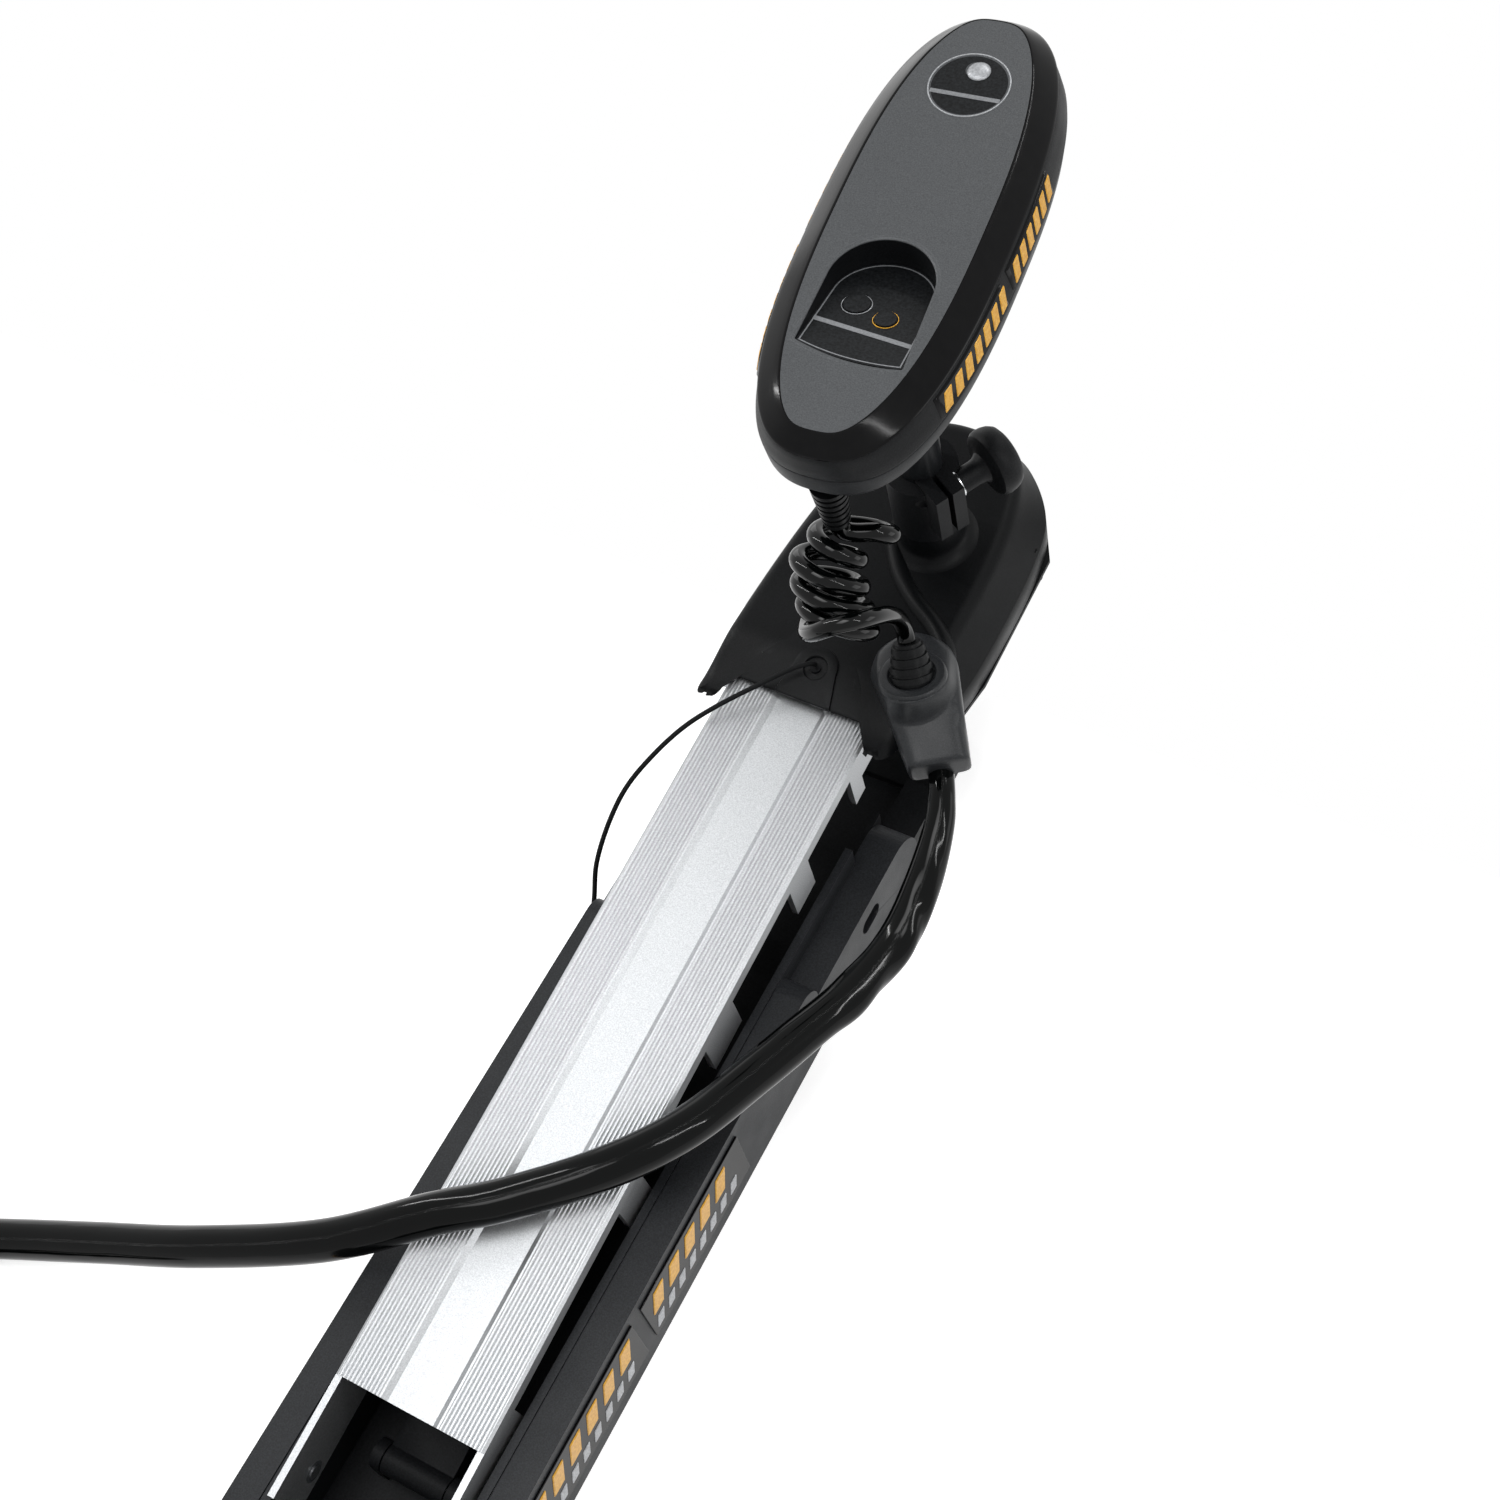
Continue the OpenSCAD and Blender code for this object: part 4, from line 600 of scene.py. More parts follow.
studio = bpy.data.worlds.new("white_studio")
scene.world = studio
studio.use_nodes = True
tree = studio.node_tree
sky = tree.nodes["Background"]
sky.inputs["Color"].default_value = (1, 1, 1, 1)
wire(tree, sky, Strength=seen_by(tree, 0.38, 1.0, "Is Camera Ray", "Is Glossy Ray", "Is Transmission Ray"))
print("deck ends at Y =", DECK_END, "m, the shaft passes it at", round(float(on_shaft([0, 0, -167])[1]), 3))

# %% [markdown]
# ## Studio light
# A softbox over the deck lights the tops. Black plastic shows mainly what it mirrors, so three narrow
# strips, to port, to starboard and over the bow, draw thin bright lines along the edges and the
# cords. Two weak panels, low on both sides of the bow, open the dark flanks.

# %% Lamps
def soft_lamp(name, at, aim, wide, tall, watts, spread=180):
    """A rectangular area lamp in metres that looks from one point at another, with a spread in degrees."""
    data = bpy.data.lights.new(name, "AREA")
    data.shape, data.size, data.size_y, data.energy = "RECTANGLE", wide, tall, watts
    data.spread = np.radians(spread)
    lamp = bpy.data.objects.new(name, data)
    lamp.location = at
    lamp.rotation_euler = (Vector(aim) - Vector(at)).to_track_quat("-Z", "Y").to_euler()
    scene.collection.objects.link(lamp)


soft_lamp("overhead_softbox", (-0.1, -0.3, 2.4), (0.0, 0.0, 0.1), 1.2, 1.2, 5.2, 70)
soft_lamp("port_strip", (-1.3, 0.7, 1.3), (0.0, 0.5, 0.2), 0.03, 1.3, 9)
soft_lamp("starboard_strip", (1.4, 0.5, 1.5), (0.0, 0.5, 0.2), 0.03, 1.3, 8)
soft_lamp("bow_strip", (0.2, 2.0, 1.6), (0.0, 0.5, 0.3), 1.2, 0.04, 7)
soft_lamp("port_bow_panel", (-1.2, 1.8, 0.35), (0.0, 0.8, 0.4), 0.9, 0.7, 2)
soft_lamp("starboard_bow_panel", (1.5, 1.3, 0.2), (0.1, 0.65, 0.15), 0.9, 0.6, 3)
print("six lamps set")

# %% [markdown]
# ## The control head
# An oval shell: a polished bevelled ring, a textured wall, and a darker lower shell whose flank slopes
# in. It could be carved from a subdivided box, but from above it is very nearly a superellipse, fuller
# than an ellipse and with no straight side. The curve has an outward direction at every point, so a
# section is the curve moved in by so many millimetres at a height. The bevel is wider along the flanks
# than at the ends.

# %% Outline of the head
def spaced(points, count):
    """An open line resampled at equal steps along its length."""
    far = far_along(points)
    at = np.linspace(0, far[-1], count)
    return joined(np.interp(at, far, points[:, 0]), np.interp(at, far, points[:, 1]))


def right_of(ring):
    """Directions square to a closed line, on the right of its way: outwards if it runs anticlockwise."""
    way = np.roll(ring, -1, axis=0) - np.roll(ring, 1, axis=0)
    return joined(way[:, 1], -way[:, 0]) / np.linalg.norm(way, axis=1)[:, None]


def evenly(points, count):
    """A closed line resampled at equal steps, with its directions to the right."""
    even = spaced(np.r_[points, points[:1]], count + 1)[:-1]
    return even, right_of(even)


def signed_power(f, power):
    """|f|^power with the sign of f, for superellipses."""
    return np.sign(f) * np.abs(f) ** power


HALF_WIDE, HALF_LONG, MIDDLE_Y, HEAD_POWER = 68.8, 187, 62.5, 2 / 2.6
lap = circle(2880)
oval = joined(HALF_WIDE * signed_power(np.cos(lap), HEAD_POWER),
              MIDDLE_Y + HALF_LONG * signed_power(np.sin(lap), HEAD_POWER))
head_edge, head_out = evenly(oval, 240)


def flare(z):
    """How far the flanks lean out, in mm: 0 at the bevel, 5.9 where the shells meet, and 0 at the foot."""
    return np.interp(z, [-56, -40, -26, -24, -2], [0, 3.5, 5.9, 5.9, 0])


def head_rows(steps, flank=0.0):
    """Sections of the head: the outline moved in by inset (1 + flank nx^2) - flare(z) nx^2, for each
    (inset, z)."""
    inset, z = columns(steps)
    side_on = head_out[:, :1] ** 2
    return on_head(raised(head_edge - (inset * (1 + flank * side_on) - flare(z) * side_on) * head_out, z))


print("head outline", np.ptp(head_edge, axis=0).round(1), "mm")

# %% Shells of the head
BEVEL_FLANK = 0.42
bevel = [(12.9, 9.8), (12.6, 11.5), (12.2, 12.05), (11.7, 12.1), (11.0, 11.6), (8.3, 9.0), (5.5, 6.1),
         (2.8, 3.2), (1.0, 1.15), (0.3, 0.15), (0.0, -0.9), (0.3, -1.7), (0.9, -1.9)]
head_ring = skin("head_bevel_ring", head_rows(bevel, BEVEL_FLANK), "motor", polished_black, caps=OPEN)
wall = [(1.2, -1.6), (0.6, -1.9), (0.3, -2.6), (0.15, -8), (0.1, -15), (0.2, -22.2), (0.6, -23.4), (1.6, -23.9),
        (3.5, -24)]
head_wall = skin("head_wall", head_rows(wall), "motor", textured_black, caps=OPEN, stands_for="head_upper")
lower = [(3.5, -24.3), (1.6, -24.35), (0.9, -24.9), (0.7, -26), (0.6, -37), (0.9, -38.6), (2.0, -40.6),
         (12.6, -56.2), (14.0, -57.6), (16.0, -58), (46, -58.1)]
head_foot = skin("head_lower_shell", head_rows(lower), "motor", lower_shell_black, caps=(False, True),
                 stands_for="head_lower")
print("head shells:", [len(o.data.polygons) for o in (head_ring, head_wall, head_foot)], "faces")

# %% [markdown]
# ## The control panel
# An arched recess opens in the grey top: flush at its foot and about 25 mm deep under the arch,
# because the panel slopes down towards the bow. A rolled edge leads from the coating into the
# recess, whose wall is drawn black as painted shade for the shadow under the arch. The panel is a
# grained label film with a thin grey line, two round buttons and a bare band across its foot.

# %% Recess wall and panel line
ARCH_R, ARCH_Y, FOOT_R, RECESS_AT = 36, 34, 146.0, [0, -28]
PANEL_TILT, FOOT_Y, FOOT_Z, HEAD_TOP = 14, -52, 10.6, 12
x_foot = np.linspace(-37.6, 37.6, 60)
foot_arc = joined(x_foot, 118 - np.sqrt(FOOT_R**2 - x_foot**2) - 0.08 * x_foot)
crown = np.linspace(0, np.pi, 90)
arch_edge, arch_out = evenly(np.r_[foot_arc, polar(ARCH_R, crown) + [0, ARCH_Y]], 180)


def film_height(y):
    """Height of the sloping film: it falls by tan(14 degrees) from its foot towards the bow."""
    return FOOT_Z - (y - FOOT_Y) * np.tan(np.radians(PANEL_TILT))


def panel_rows(steps):
    """Sections of the recess: the arch grown by so much, at a height of the head or, where the third
    value is 1, above the sloping film."""
    grow, z, on_slope = columns(steps)
    flat = arch_edge + grow * arch_out + RECESS_AT
    return on_head(raised(flat, z + on_slope * film_height(flat[..., 1:])))


skin("recess_rolled_edge", panel_rows([(3.4, 11.9, 0), (3.2, 12.0, 0), (1.9, 12.08, 0), (0.8, 11.75, 0),
                                       (0.2, 11.2, 0), (0.16, 10.4, 0)]), "motor", grey_coating, caps=OPEN)
# The recess wall is drawn in textured black, darker than the grey coating round it: painted shade for the shadow
# under the arch.
skin("recess_wall_painted_shade", panel_rows([(0.16, 10.5, 0), (0.1, 9.6, 0), (0.05, 0.25, 1), (-0.1, -0.4, 1)]), "motor",
     textured_black, caps=OPEN)
film = arch_edge * np.array([0.001, 0.25, 0.5, 0.75, 0.95, 1.0])[:, None, None] + RECESS_AT
skin("panel_film", on_head(raised(film, film_height(film[..., 1:]))), "motor", panel_black, caps=(True, False),
     stands_for="control_panel")
skin("panel_grey_line", panel_rows([(-1.6, 0.02, 1), (-1.6, 0.2, 1), (-2.5, 0.2, 1), (-2.5, 0.02, 1)]),
     "motor", grey_paint, caps=OPEN)
print("recess depth under the arch", round(float(HEAD_TOP - film_height(42)), 1), "mm")

# %% Buttons, rings and the bare band
on_panel = frame_in(frame_in(on_head, (0, FOOT_Y, FOOT_Z), (-PANEL_TILT, X)), (0, -FOOT_Y, 0))
large_spot, small_spot = frame_in(on_panel, (-13.5, -2.5, 0)), frame_in(on_panel, (9.9, -11.6, 0))


def button_profile(r):
    """Side, rolled edge and slightly dished face of a button, from the film upwards."""
    return [(r - 0.2, -4.5), (r - 0.2, 1.3), (r - 0.6, 1.65), (r - 1.4, 1.75), (r * 0.5, 1.5), (0.001, 1.4)]


def strip(half_long, half_wide, y, slant, low, high, count):
    """A flat bar along X in four lines: two feet at height low and two edges at height high."""
    u = np.linspace(-1, 1, count)
    w, z = (np.array(v)[:, None] for v in ([-half_wide] * 2 + [half_wide] * 2, [low, high, high, low]))
    return joined(half_long * u, y + w + slant * u, z)


large_button = spun("large_button_cap", button_profile(9.5), large_spot, "large_button", panel_black,
                    stands_for="button_large")
small_button = spun("small_button_cap", button_profile(7.8), small_spot, "small_button", panel_black,
                    stands_for="button_small")
ring_profile = np.array([(0.1, 0.05), (0.12, 0.4), (0.35, 0.5), (0.6, 0.4), (0.62, 0.05)])
spun("large_button_ring", ring_profile + [9.7, 0], large_spot, "motor", silver_paint, caps=OPEN)
spun("small_button_ring", ring_profile + [8.0, 0], small_spot, "motor", gold_paint, caps=OPEN)
skin("panel_foot_band", on_panel(strip(35.4, 2.0, -27.5, -4.4, 0.05, 0.22, 30)), "motor", grey_paint,
     wrap=False)

# %% [markdown]
# The grey coated plate fills the head's top from the bevel to the recess. Both edges are closed curves
# round the same middle, so the plate is a fan between them: at every angle it runs from the recess to
# the bevel.

# %% Top plate
def by_angle(curve, middle, count):
    """A closed curve seen from a middle, at equal angles: the point at each angle."""
    away = curve - middle
    angle, far = np.arctan2(away[:, 1], away[:, 0]), np.hypot(away[:, 0], away[:, 1])
    at = np.linspace(-np.pi, np.pi, count, endpoint=False)
    r = np.interp(at, *np.array(sorted(zip(angle, far))).T, period=2 * np.pi)
    return middle + polar(r, at)


RIM_INSET, HOLE_GROWTH, COATING_TOP = 12.5, 2.6, 11.97
plate_middle = np.array([0, -10.0])
rim_edge = head_edge - RIM_INSET * (1 + BEVEL_FLANK * head_out[:, :1] ** 2) * head_out
plate_rim = by_angle(rim_edge, plate_middle, 720)
plate_hole = by_angle(arch_edge + HOLE_GROWTH * arch_out + RECESS_AT, plate_middle, 720)
fan = np.linspace(0, 1, 12)[:, None, None]
skin("head_top_coating", on_head(raised(plate_hole * (1 - fan) + plate_rim * fan, COATING_TOP)), "motor",
     grey_coating, caps=OPEN, stands_for="head_top_plate")
print("top plate", np.ptp(plate_rim, axis=0).round(1), "mm")

# %% [markdown]
# ## The round badge
# Near the head's front sits a round badge: a silver ring, a grained disc, a domed silver lens and a
# plain grey bar. The bar stays bare. The ring and the lens are spun profiles.

# %% Badge
on_badge = frame_in(on_head, (0, 178, 10.02))
spun("badge_bright_ring", [(27.1, 0.2), (27.1, 2.1), (27.3, 2.5), (27.7, 2.6), (28.1, 2.5), (28.3, 2.1),
                           (28.3, 0.2)],
     on_badge, "motor", silver_paint, caps=OPEN, stands_for="badge_ring", sides=96)
lens_a = np.linspace(0, np.pi / 2, 12)
spun("badge_lens", np.column_stack([8.2 * np.cos(lens_a) + 0.001, 1.6 + 3.2 * np.sin(lens_a)]),
     frame_in(on_badge, (2.5, 13, 0)), "motor", silver_paint)
skin("badge_bar", on_badge(strip(24.6, 1.7, -9.5, 0, 1.95, 2.2, 24)), "motor", grey_paint, wrap=False)
print("badge made")

# %% [markdown]
# ## The steering housing's cover
# One moulding tapers from the wide body to a narrower top, with a rounded rim, a notch for the arm and a
# turned boss for the shaft. Two outlines, rounded by cutting corners and resampled to the same number of
# points, are joined straight, so a height between them is a mix of the two. The rim's radius moves the
# section in along its own normals.

# %% Outlines of the cover
def corner_cut(points, times):
    """An open line with its corners cut at a quarter and three quarters of each side, ends kept."""
    p = np.asarray(points, float)
    for _ in range(times):
        q = np.stack([0.75 * p[:-1] + 0.25 * p[1:], 0.25 * p[:-1] + 0.75 * p[1:]], axis=1).reshape(-1, 2)
        p = np.r_[p[:1], q, p[-1:]]
    return p


low_line = [[-78, 612], [-76, 700], [-58, 800], [-20, 836], [50, 836], [86, 806], [106, 769], [106, 650],
            [100, 612]]
top_line = [[-77, 537], [-70, 650], [-62, 721], [-45, 795], [-8, 824], [44, 824], [74, 800], [86, 735],
            [86, 640], [78, 537]]
notch = np.array([[78, 537], [59.8, 537], [59.8, 558], [-59.8, 558], [-59.8, 537], [-77, 537.0]])
back_line = np.concatenate([np.linspace(a, b, n, endpoint=False)
                            for a, b, n in zip(notch[:-1], notch[1:], (6, 7, 35, 7, 6))])
low_ring = np.r_[spaced(corner_cut(low_line, 3), 150), np.linspace(low_line[-1], low_line[0], 62)[1:-1]]
top_ring = np.r_[spaced(corner_cut(top_line, 3), 150), back_line[1:]]
print("cover outline of", len(top_ring), "points")

# %% Cover, body and boss
def smooth(u):
    """Smooth step from 0 to 1: u u (3 - 2 u)."""
    u = np.clip(u, 0, 1)
    return u * u * (3 - 2 * u)


def fall(y):
    """How far the cover's top sinks to the arm at its back: 9.5 mm by a smooth step from y = 600 to 552."""
    return 9.5 * smooth((600 - y) / 48)


COVER_FOOT, COVER_TALL, RIM_R = -18, 32, 7
rim = np.linspace(0, np.pi / 2, 7)[1:]
rim_foot = COVER_TALL - RIM_R
share = np.r_[np.linspace(0, rim_foot, 8), rim_foot + RIM_R * np.sin(rim)][:, None, None] / COVER_TALL
inset = np.r_[np.zeros(8), RIM_R * (1 - np.cos(rim))][:, None, None]
sides = (1 - share) * low_ring + share * top_ring + inset * right_of(top_ring)
close = np.array([0.06, 0.15, 0.3, 0.5, 0.75, 1.0])[:, None, None]
spine = joined(0.4 * top_ring[:, 0], np.clip(top_ring[:, 1], 600, 780))
cover_flat = np.r_[sides, (1 - close) * sides[-1] + close * spine]
height = np.r_[share, np.ones_like(close)] * (COVER_TALL - fall(cover_flat[..., 1:])) + COVER_FOOT
cover = skin("housing_cover_moulding", on_arm(raised(cover_flat, height)), "housing", housing_black,
             caps=(False, True), stands_for="housing_cover")
body_in, body_z = columns([(3, -46), (0.8, -45.4), (0, -44), (0, -19.8), (0.6, -18.8), (2, -18.4)])
skin("housing_body_moulding", on_arm(raised(low_ring + body_in * right_of(low_ring), body_z)), "housing",
     housing_black, caps=OPEN, stands_for="housing_body")
boss_profile = [(36, 13.6), (33, 14.3), (30.6, 15.2), (28, 17), (25.6, 19.5), (24.4, 22.4), (24, 26), (24, 43),
                (23.6, 44.4), (22.6, 45), (20.2, 45), (20, 44)]
spun("housing_boss", boss_profile, on_shaft, "housing", housing_black, caps=OPEN, sides=80)
print("cover faces", len(cover.data.polygons))

# %% [markdown]
# A rib runs from the boss to the cord block, and a flat pad with a round hole leads the pull cord into
# the cover.

# %% Rib and keyhole pad
rib_path = through([[10, 706, 10], [25.5, 684.5, 10], [46.5, 666.5, 10.5], [68, 653, 11], [84, 638, 12],
                    [93, 620, 14]], 14)
skin("housing_rib", on_arm(tube_rows(rib_path, 8.0, 24)), "housing", housing_black, crease=60)
PAD_R, HOLE_R, PAD_AT, ARM_TOP = 17, 9, [3, 588], 14
pad_foot = np.array([[-PAD_R, 0], [-23, -25.5], [23, -25.5], [PAD_R, 0]])
pad_line = np.r_[polar(PAD_R, np.linspace(0, np.pi, 60)), spaced(pad_foot, 80)[1:-1]]
pad_line = by_angle(pad_line, np.zeros(2), 160)
hole_line = by_angle(HOLE_R * pad_line / np.linalg.norm(pad_line, axis=1)[:, None], np.zeros(2), 160)
out, shrink, lift = columns([(0, 0.92, -12), (0, 0.97, 1.2), (0.03, 1, 1.9), (0.3, 1, 2.1), (0.9, 1, 2.1),
                             (0.97, 1, 1.9), (1, 1, 1.2), (1, 1, -1)])
pad_flat = (1 - out) * hole_line * shrink + out * pad_line + PAD_AT
skin("keyhole_pad", on_arm(raised(pad_flat, ARM_TOP + lift - fall(pad_flat[..., 1:]))), "housing",
     housing_black, caps=(True, False), stands_for="pull_plate")
print("rib", round(length_of(rib_path)), "mm long")

# %% [markdown]
# The cord block is a soft vinyl moulding: its face climbs from the lead to a step, and above the step a
# leaning plane carries the curly cord's strain relief. A box could be cut and smoothed, but one height
# over its plan is easier: two planes, mixed by the distance from a U round the relief. Rounded sides
# close it below, and a turned collar rings the place where the cord goes in. The rubber pad at the
# base's front, under the housing's back edge, is a guess.

# %% Cord block, its collar and the front pad
y_line = np.r_[-57.9, -57.4, -56.2, np.linspace(-54, -36, 8), np.linspace(-34, -20, 22),
               np.linspace(-18, 30, 22), 12 + 29 * np.sin(np.linspace(0.7, 1.56, 14))][:, None]
tight = np.clip(0.9 + 0.05 * (y_line + 57.9) / 0.5, 0.9, 1)
lean_in = np.clip((y_line + 58) / 70, 0, 1)
round_end = np.sqrt(np.clip(1 - np.clip((y_line - 12) / 29, 0, 1) ** 2, 0.0004, 1))
half = (22 + 10 * lean_in) * round_end * tight
block_low = -6 + 16 * np.clip((y_line + 34) / 8, 0, 1)


def block_height(x, y):
    """Top of the block: a face that climbs to the step, and a leaning plane inside a U of radius 25 mm
    round the relief, mixed by a smooth step over the last 6 mm of the distance from the U."""
    face = 17 + 11 * np.clip((y + 57) / 29, 0, 1.3)
    plane = 43.2 - 0.287 * (y + 1.2)
    return face + (plane - face) * smooth((31 - np.hypot(x + 7.8, np.minimum(y + 1.2, 0))) / 6)


over, under = (np.sin(np.pi / 2 * v) for v in (np.linspace(-1, 1, 61), np.linspace(1, -1, 15)[1:-1]))
across = np.r_[over, under][None, :]
swell = (1 - np.abs(across) ** 5).clip(0) ** 0.2 * np.repeat([1, -1], [len(over), len(under)])
x = across * half + 8 - 16 * lean_in
y = y_line + 0.15 * (x - 8) * np.clip((-y_line - 20) / 36, 0, 1)
belt = block_low + 5
z = belt + tight * swell * np.where(swell > 0, block_height(x, y_line) - belt, belt - block_low)
skin("cord_block_moulding", on_cord_block(joined(x, y, z)), "housing", block_black, crease=50,
     stands_for="cord_block")
collar_profile = [(0.001, -0.8), (15.6, -0.8), (16.4, -0.6), (17.0, 0.3), (17.8, 0.9), (21.6, 1.1), (23.4, 0.7),
                  (24.4, -0.3), (25.0, -1.8), (25.2, -4)]
spun("block_collar", collar_profile, frame_in(on_arm, (81.5, 595.5, 44.5), (16, Y), (122, Z)), "housing",
     block_black, caps=OPEN, sides=72)
pad_a = circle(120)
pad_ring = joined(86 * signed_power(np.cos(pad_a), 0.25), 32 * signed_power(np.sin(pad_a), 0.25))
size, pad_z = columns([(0.001, 10.5), (0.9, 10.5), (0.97, 9.6), (1.0, 8), (1.0, 0.2)])
skin("base_front_pad", on_deck(raised(size * pad_ring + [0, 593], pad_z)), "mount_base", black_rubber,
     caps=OPEN)
print("block", round(float(np.ptp(y_line)), 1), "mm long")

# %% [markdown]
# ## Eased copies of the solids
# A real moulding has no knife edges: each corner is rounded by about a millimetre and catches a line of
# light. Where a solid's shape is right, a copy is merged, its flat triangles are joined into faces, and
# a Bevel modifier rounds each edge sharper than 30 degrees.

# %% Eased copies
SHARP = 30


def eased(node, finish, width):
    """A copy of a solid with its sharp edges rounded by a width in mm, standing for the solid."""
    mesh = nodes[node].data.copy()
    mesh.materials.clear()
    work = bmesh.new()
    work.from_mesh(mesh)
    bmesh.ops.remove_doubles(work, verts=work.verts, dist=1e-5)
    bmesh.ops.dissolve_limit(work, angle_limit=np.radians(0.6), verts=work.verts, edges=work.edges)
    work.to_mesh(mesh)
    work.free()
    mesh.name = node + "_eased"
    piece = piece_of(node + "_eased", mesh, nodes[node]["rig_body"], finish, SHARP, node)
    rounding = piece.modifiers.new("rounded_edges", "BEVEL")
    rounding.width, rounding.segments = width * MM, 3
    rounding.limit_method, rounding.angle_limit = "ANGLE", np.radians(SHARP)
    rounding.harden_normals = True


for node, finish, width in (("side_plate_left", plate_black, 1.8), ("side_plate_right", plate_black, 1.8),
                            ("housing_floor", powder_black, 0.8), ("depth_collar", knob_black, 1.2),
                            ("rest_bracket", powder_black, 1.0), ("plate_stripe_backs", polished_black, 0.5),
                            ("skeg", powder_black, 1.5), ("base_channel", powder_black, 0.6),
                            ("inner_arm", powder_black, 0.8)):
    eased(node, finish, width)

# %% [markdown]
# ## Painted trim
# The flanks of the head and of the plates carry raised trim: plain slanted dashes in gold on a black
# back, with a row of thin pale dashes below on the plates. A dash is one small patch with its middle
# raised, repeated along the flank; on the head it follows the curve of the wall.

# %% Trim
FLANKS, PLATE_FOOT, PLATE_LEAN = (1, -1), 95, np.radians(2.86)
edge, proud = np.array([0, 0.04, 0.96, 1.0]), np.array([0, 1, 1, 0.0])
head_far = np.arange(len(head_edge)) * np.linalg.norm(head_edge[1] - head_edge[0])
head_lap = head_far[-1] + head_far[1]


def on_wall(s, z, t, side):
    """A point of the head's wall: s mm along the outline from its widest place, t mm proud of it."""
    at = [np.interp(s, head_far, v, period=head_lap) for v in (*head_edge.T, *head_out.T)]
    t = t + flare(z) * at[2] ** 2
    return on_head(joined(side * (at[0] + t * at[2]), at[1] + t * at[3], z))


def on_plate(s, z, t, side):
    """A point of a side plate's flank, which leans in by 2.86 degrees from x = 95 mm at the deck."""
    c, n = np.cos(PLATE_LEAN), np.sin(PLATE_LEAN)
    return on_deck(joined(side * (PLATE_FOOT + t * c - z * n), s, t * n + z * c))


def dashes(name, place, starts, form, body, finish, **more):
    """Slanted raised patches on both flanks: s = start + wide u + slant v, z from low to high, and
    t = root, with lift added inside the border."""
    wide, low, high, slant, root, lift = form
    s = np.asarray(starts, float)[:, None, None] + wide * edge + slant * edge[:, None]
    z, t = low + (high - low) * edge[:, None], root + lift * proud[:, None] * proud
    patches(name, np.concatenate([place(s, z, t, side) for side in FLANKS]), body, finish, **more)


backs = [(-124, -26), (-16, 70)]
cuts = np.linspace(0, 1, 40)
back_t = np.array([-0.2, 1.0, 1.3, 1.3, 1.0, -0.2])[:, None] * np.minimum(1, 60 * np.minimum(cuts, 1 - cuts))
back_z = np.array([-21.2, -21, -20.6, -4.6, -4.2, -4.0])[:, None]
patches("head_trim_backs", [on_wall(a + (b - a) * cuts, back_z, back_t, side)
                            for side in FLANKS for a, b in backs],
        "motor", polished_black, stands_for="head_stripe_backs")
head_starts = np.r_[-120:-36:13.6, -12:62:13.6]
dashes("head_trim_dashes", on_wall, head_starts, (8.4, -19, -6.4, 5, 1.25, 0.7), "motor", gold_paint,
       stands_for="head_gold_stripes")
plate_starts = np.r_[98:208:22.0, -124:62:22.0]
dashes("plate_trim_dashes", on_plate, plate_starts, (13, 42, 64, 8, 1.5, 0.9), "mount_base", gold_paint,
       stands_for="plate_gold_stripes")
dashes("plate_pale_dashes", on_plate, np.r_[96:212:15.0, -126:64:15.0], (8, 23, 35, 4.5, 1.5, 0.7),
       "mount_base", silver_paint)
print("dashes:", 2 * len(head_starts), "on the head,", 2 * len(plate_starts), "on the plates")

# %% [markdown]
# ## The clamp knob
# The knob that clamps the depth collar is a turned nylon moulding on a steel screw, with a bright
# washer ring on its stem. It is a spun profile along the screw.

# %% Knob
on_knob = frame_in(on_collar, (23.5, 0, 95.1), (-90, X))
knob_profile = [(0.001, -12), (4, -12), (4, 12.3), (9.4, 12.3), (9.4, 30), (10, 33), (12, 36.5), (15, 38),
                (21, 38.4), (24, 39.6), (25.6, 42), (26, 45), (25.6, 49), (24.4, 53), (22, 56.6), (18.5, 58.4),
                (12, 59), (0.001, 59)]
spun("collar_knob_moulding", knob_profile, on_knob, "knob", knob_black, sides=96, stands_for="collar_knob")
washer_profile = [(9.3, 13), (10.4, 13.2), (10.8, 13.8), (10.8, 14.8), (10.4, 15.4), (9.3, 15.6)]
spun("knob_bright_washer", washer_profile, on_knob, "knob", bright_chrome, caps=OPEN)
print("knob at", on_knob([0, 0, 40]).round(3))

# %% [markdown]
# ## The propeller
# A two-blade weedless propeller: a tapered hub and two swept blades. Each blade is a function of two
# parameters, the distance from the axis and the place round the section: the chord widens, then
# closes to a round tip, the section turns flatter outwards, and a lens shape gives its thickness.

# %% Propeller
BLADE_ROOT, BLADE_TIP, BLADE_Y = 18, 134, -160


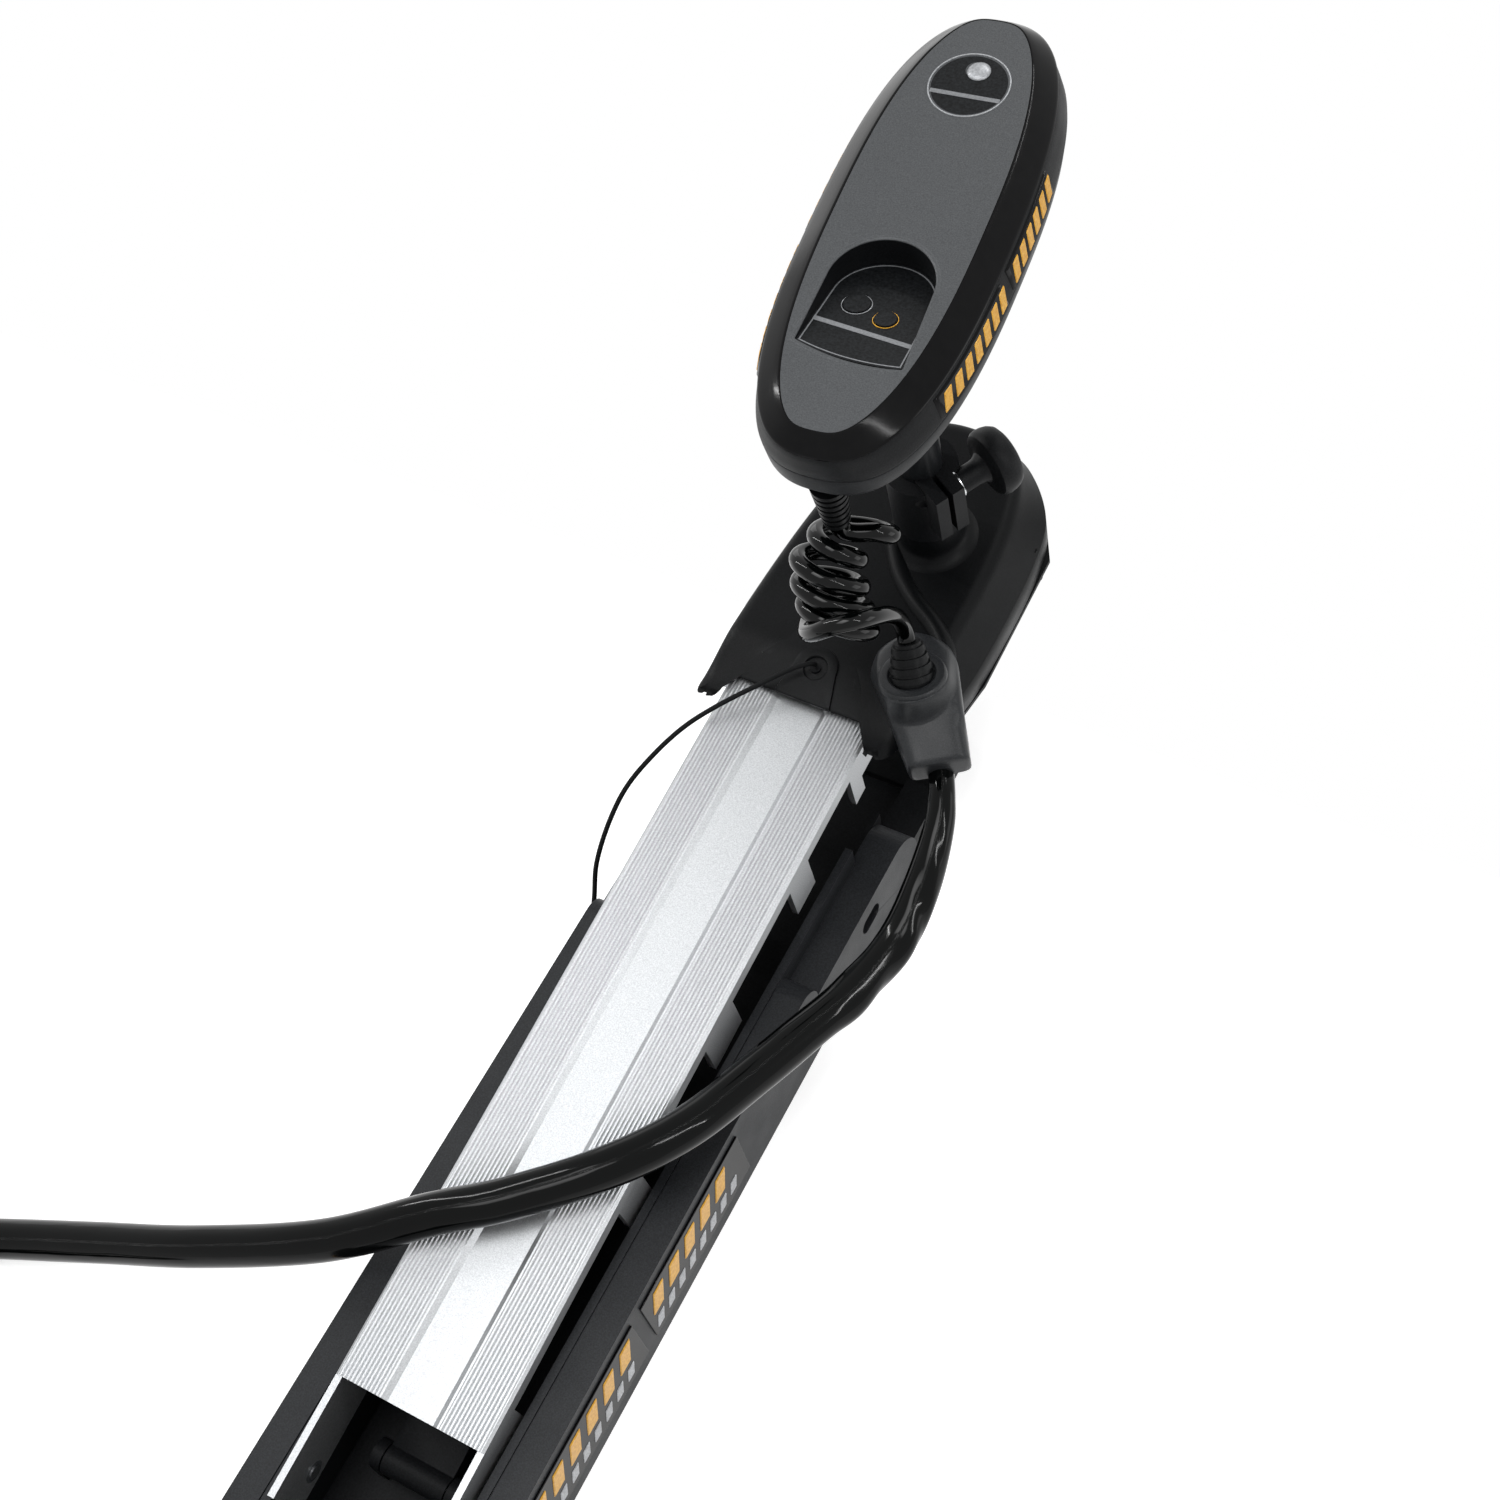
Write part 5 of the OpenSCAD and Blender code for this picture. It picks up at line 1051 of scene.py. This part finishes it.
def blade_rows(half_turn):
    """Blade sections: chord c(u), twist from 62 to 24 degrees and thickness falling with radius r(u)."""
    u = np.linspace(0, 1, 40)[:, None]
    phi = circle(36)[None, :]
    r = BLADE_ROOT + (BLADE_TIP - BLADE_ROOT) * u
    chord = 26 + 60 * np.sin(0.62 * np.pi * u**0.8) * np.sqrt(1 - u**6) * (1 - 0.25 * u)
    chord = chord * np.sqrt(1 - u**8) + 0.02
    thick = (7.5 - 5.2 * u) * np.sqrt(1 - u**10) + 0.02
    twist = np.radians(62 - 38 * u)
    along_chord, off_chord = chord / 2 * np.cos(phi) - 10 * u**2, thick / 2 * np.sin(phi)
    x = along_chord * np.cos(twist) + off_chord * np.sin(twist)
    y = along_chord * np.sin(twist) * 0.55 - off_chord * np.cos(twist)
    return turned(joined(x, y + BLADE_Y, r), half_turn, Y)


for k in (0, 1):
    skin(f"propeller_blade_{k}", on_pod(blade_rows(180 * k)), "rotor", knob_black)
hub_profile = [(6.1, 0), (27, 0), (29, 1.5), (29, 4), (27.6, 14), (25, 28), (22.5, 41), (20.5, 43.6), (6.1, 44)]
spun("propeller_hub", hub_profile, frame_in(on_pod, (0, -139, 0), (90, X)), "rotor", knob_black, caps=OPEN,
     stands_for="propeller")
print("propeller about", 2 * BLADE_TIP, "mm across")

# %% [markdown]
# ## Finishes for the solids that stay
# Pins, bushes, gears, the ridged arm, the shaft and the motor's cases already have their real shape.
# They keep their meshes and take a finish by what they are made of.

# %% Finishes by node
by_finish = {
    satin_aluminium: ("outer_arm",),
    turned_steel: ("plate_screws", "arm_pivot_pins", "link_pin", "link_end_pin", "hinge_pins", "steer_motor",
                   "drive_sleeve", "bearings", "prop_nut", "head_screws", "magnets"),
    gear_bronze: ("steer_pinion", "steer_gear"),
    wound_copper: ("armature",),
    bearing_grey: ("arm_bushes", "upper_bush", "lower_bush"),
    black_rubber: ("rest_roller", "block_relief", "head_relief"),
    composite: ("shaft_tube",),
    powder_black: ("motor_body", "motor_nose", "motor_tail", "latch_pin", "housing_screws"),
    board_green: ("control_board",),
    panel_black: ("badge_disc",),
}
for finish, names in by_finish.items():
    for name in names:
        nodes[name].data.materials.clear()
        nodes[name].data.materials.append(finish)
finished = sum(by_finish.values(), ())
print("solids without a finish:", [n for n, o in nodes.items() if not o.hide_render and n not in finished])
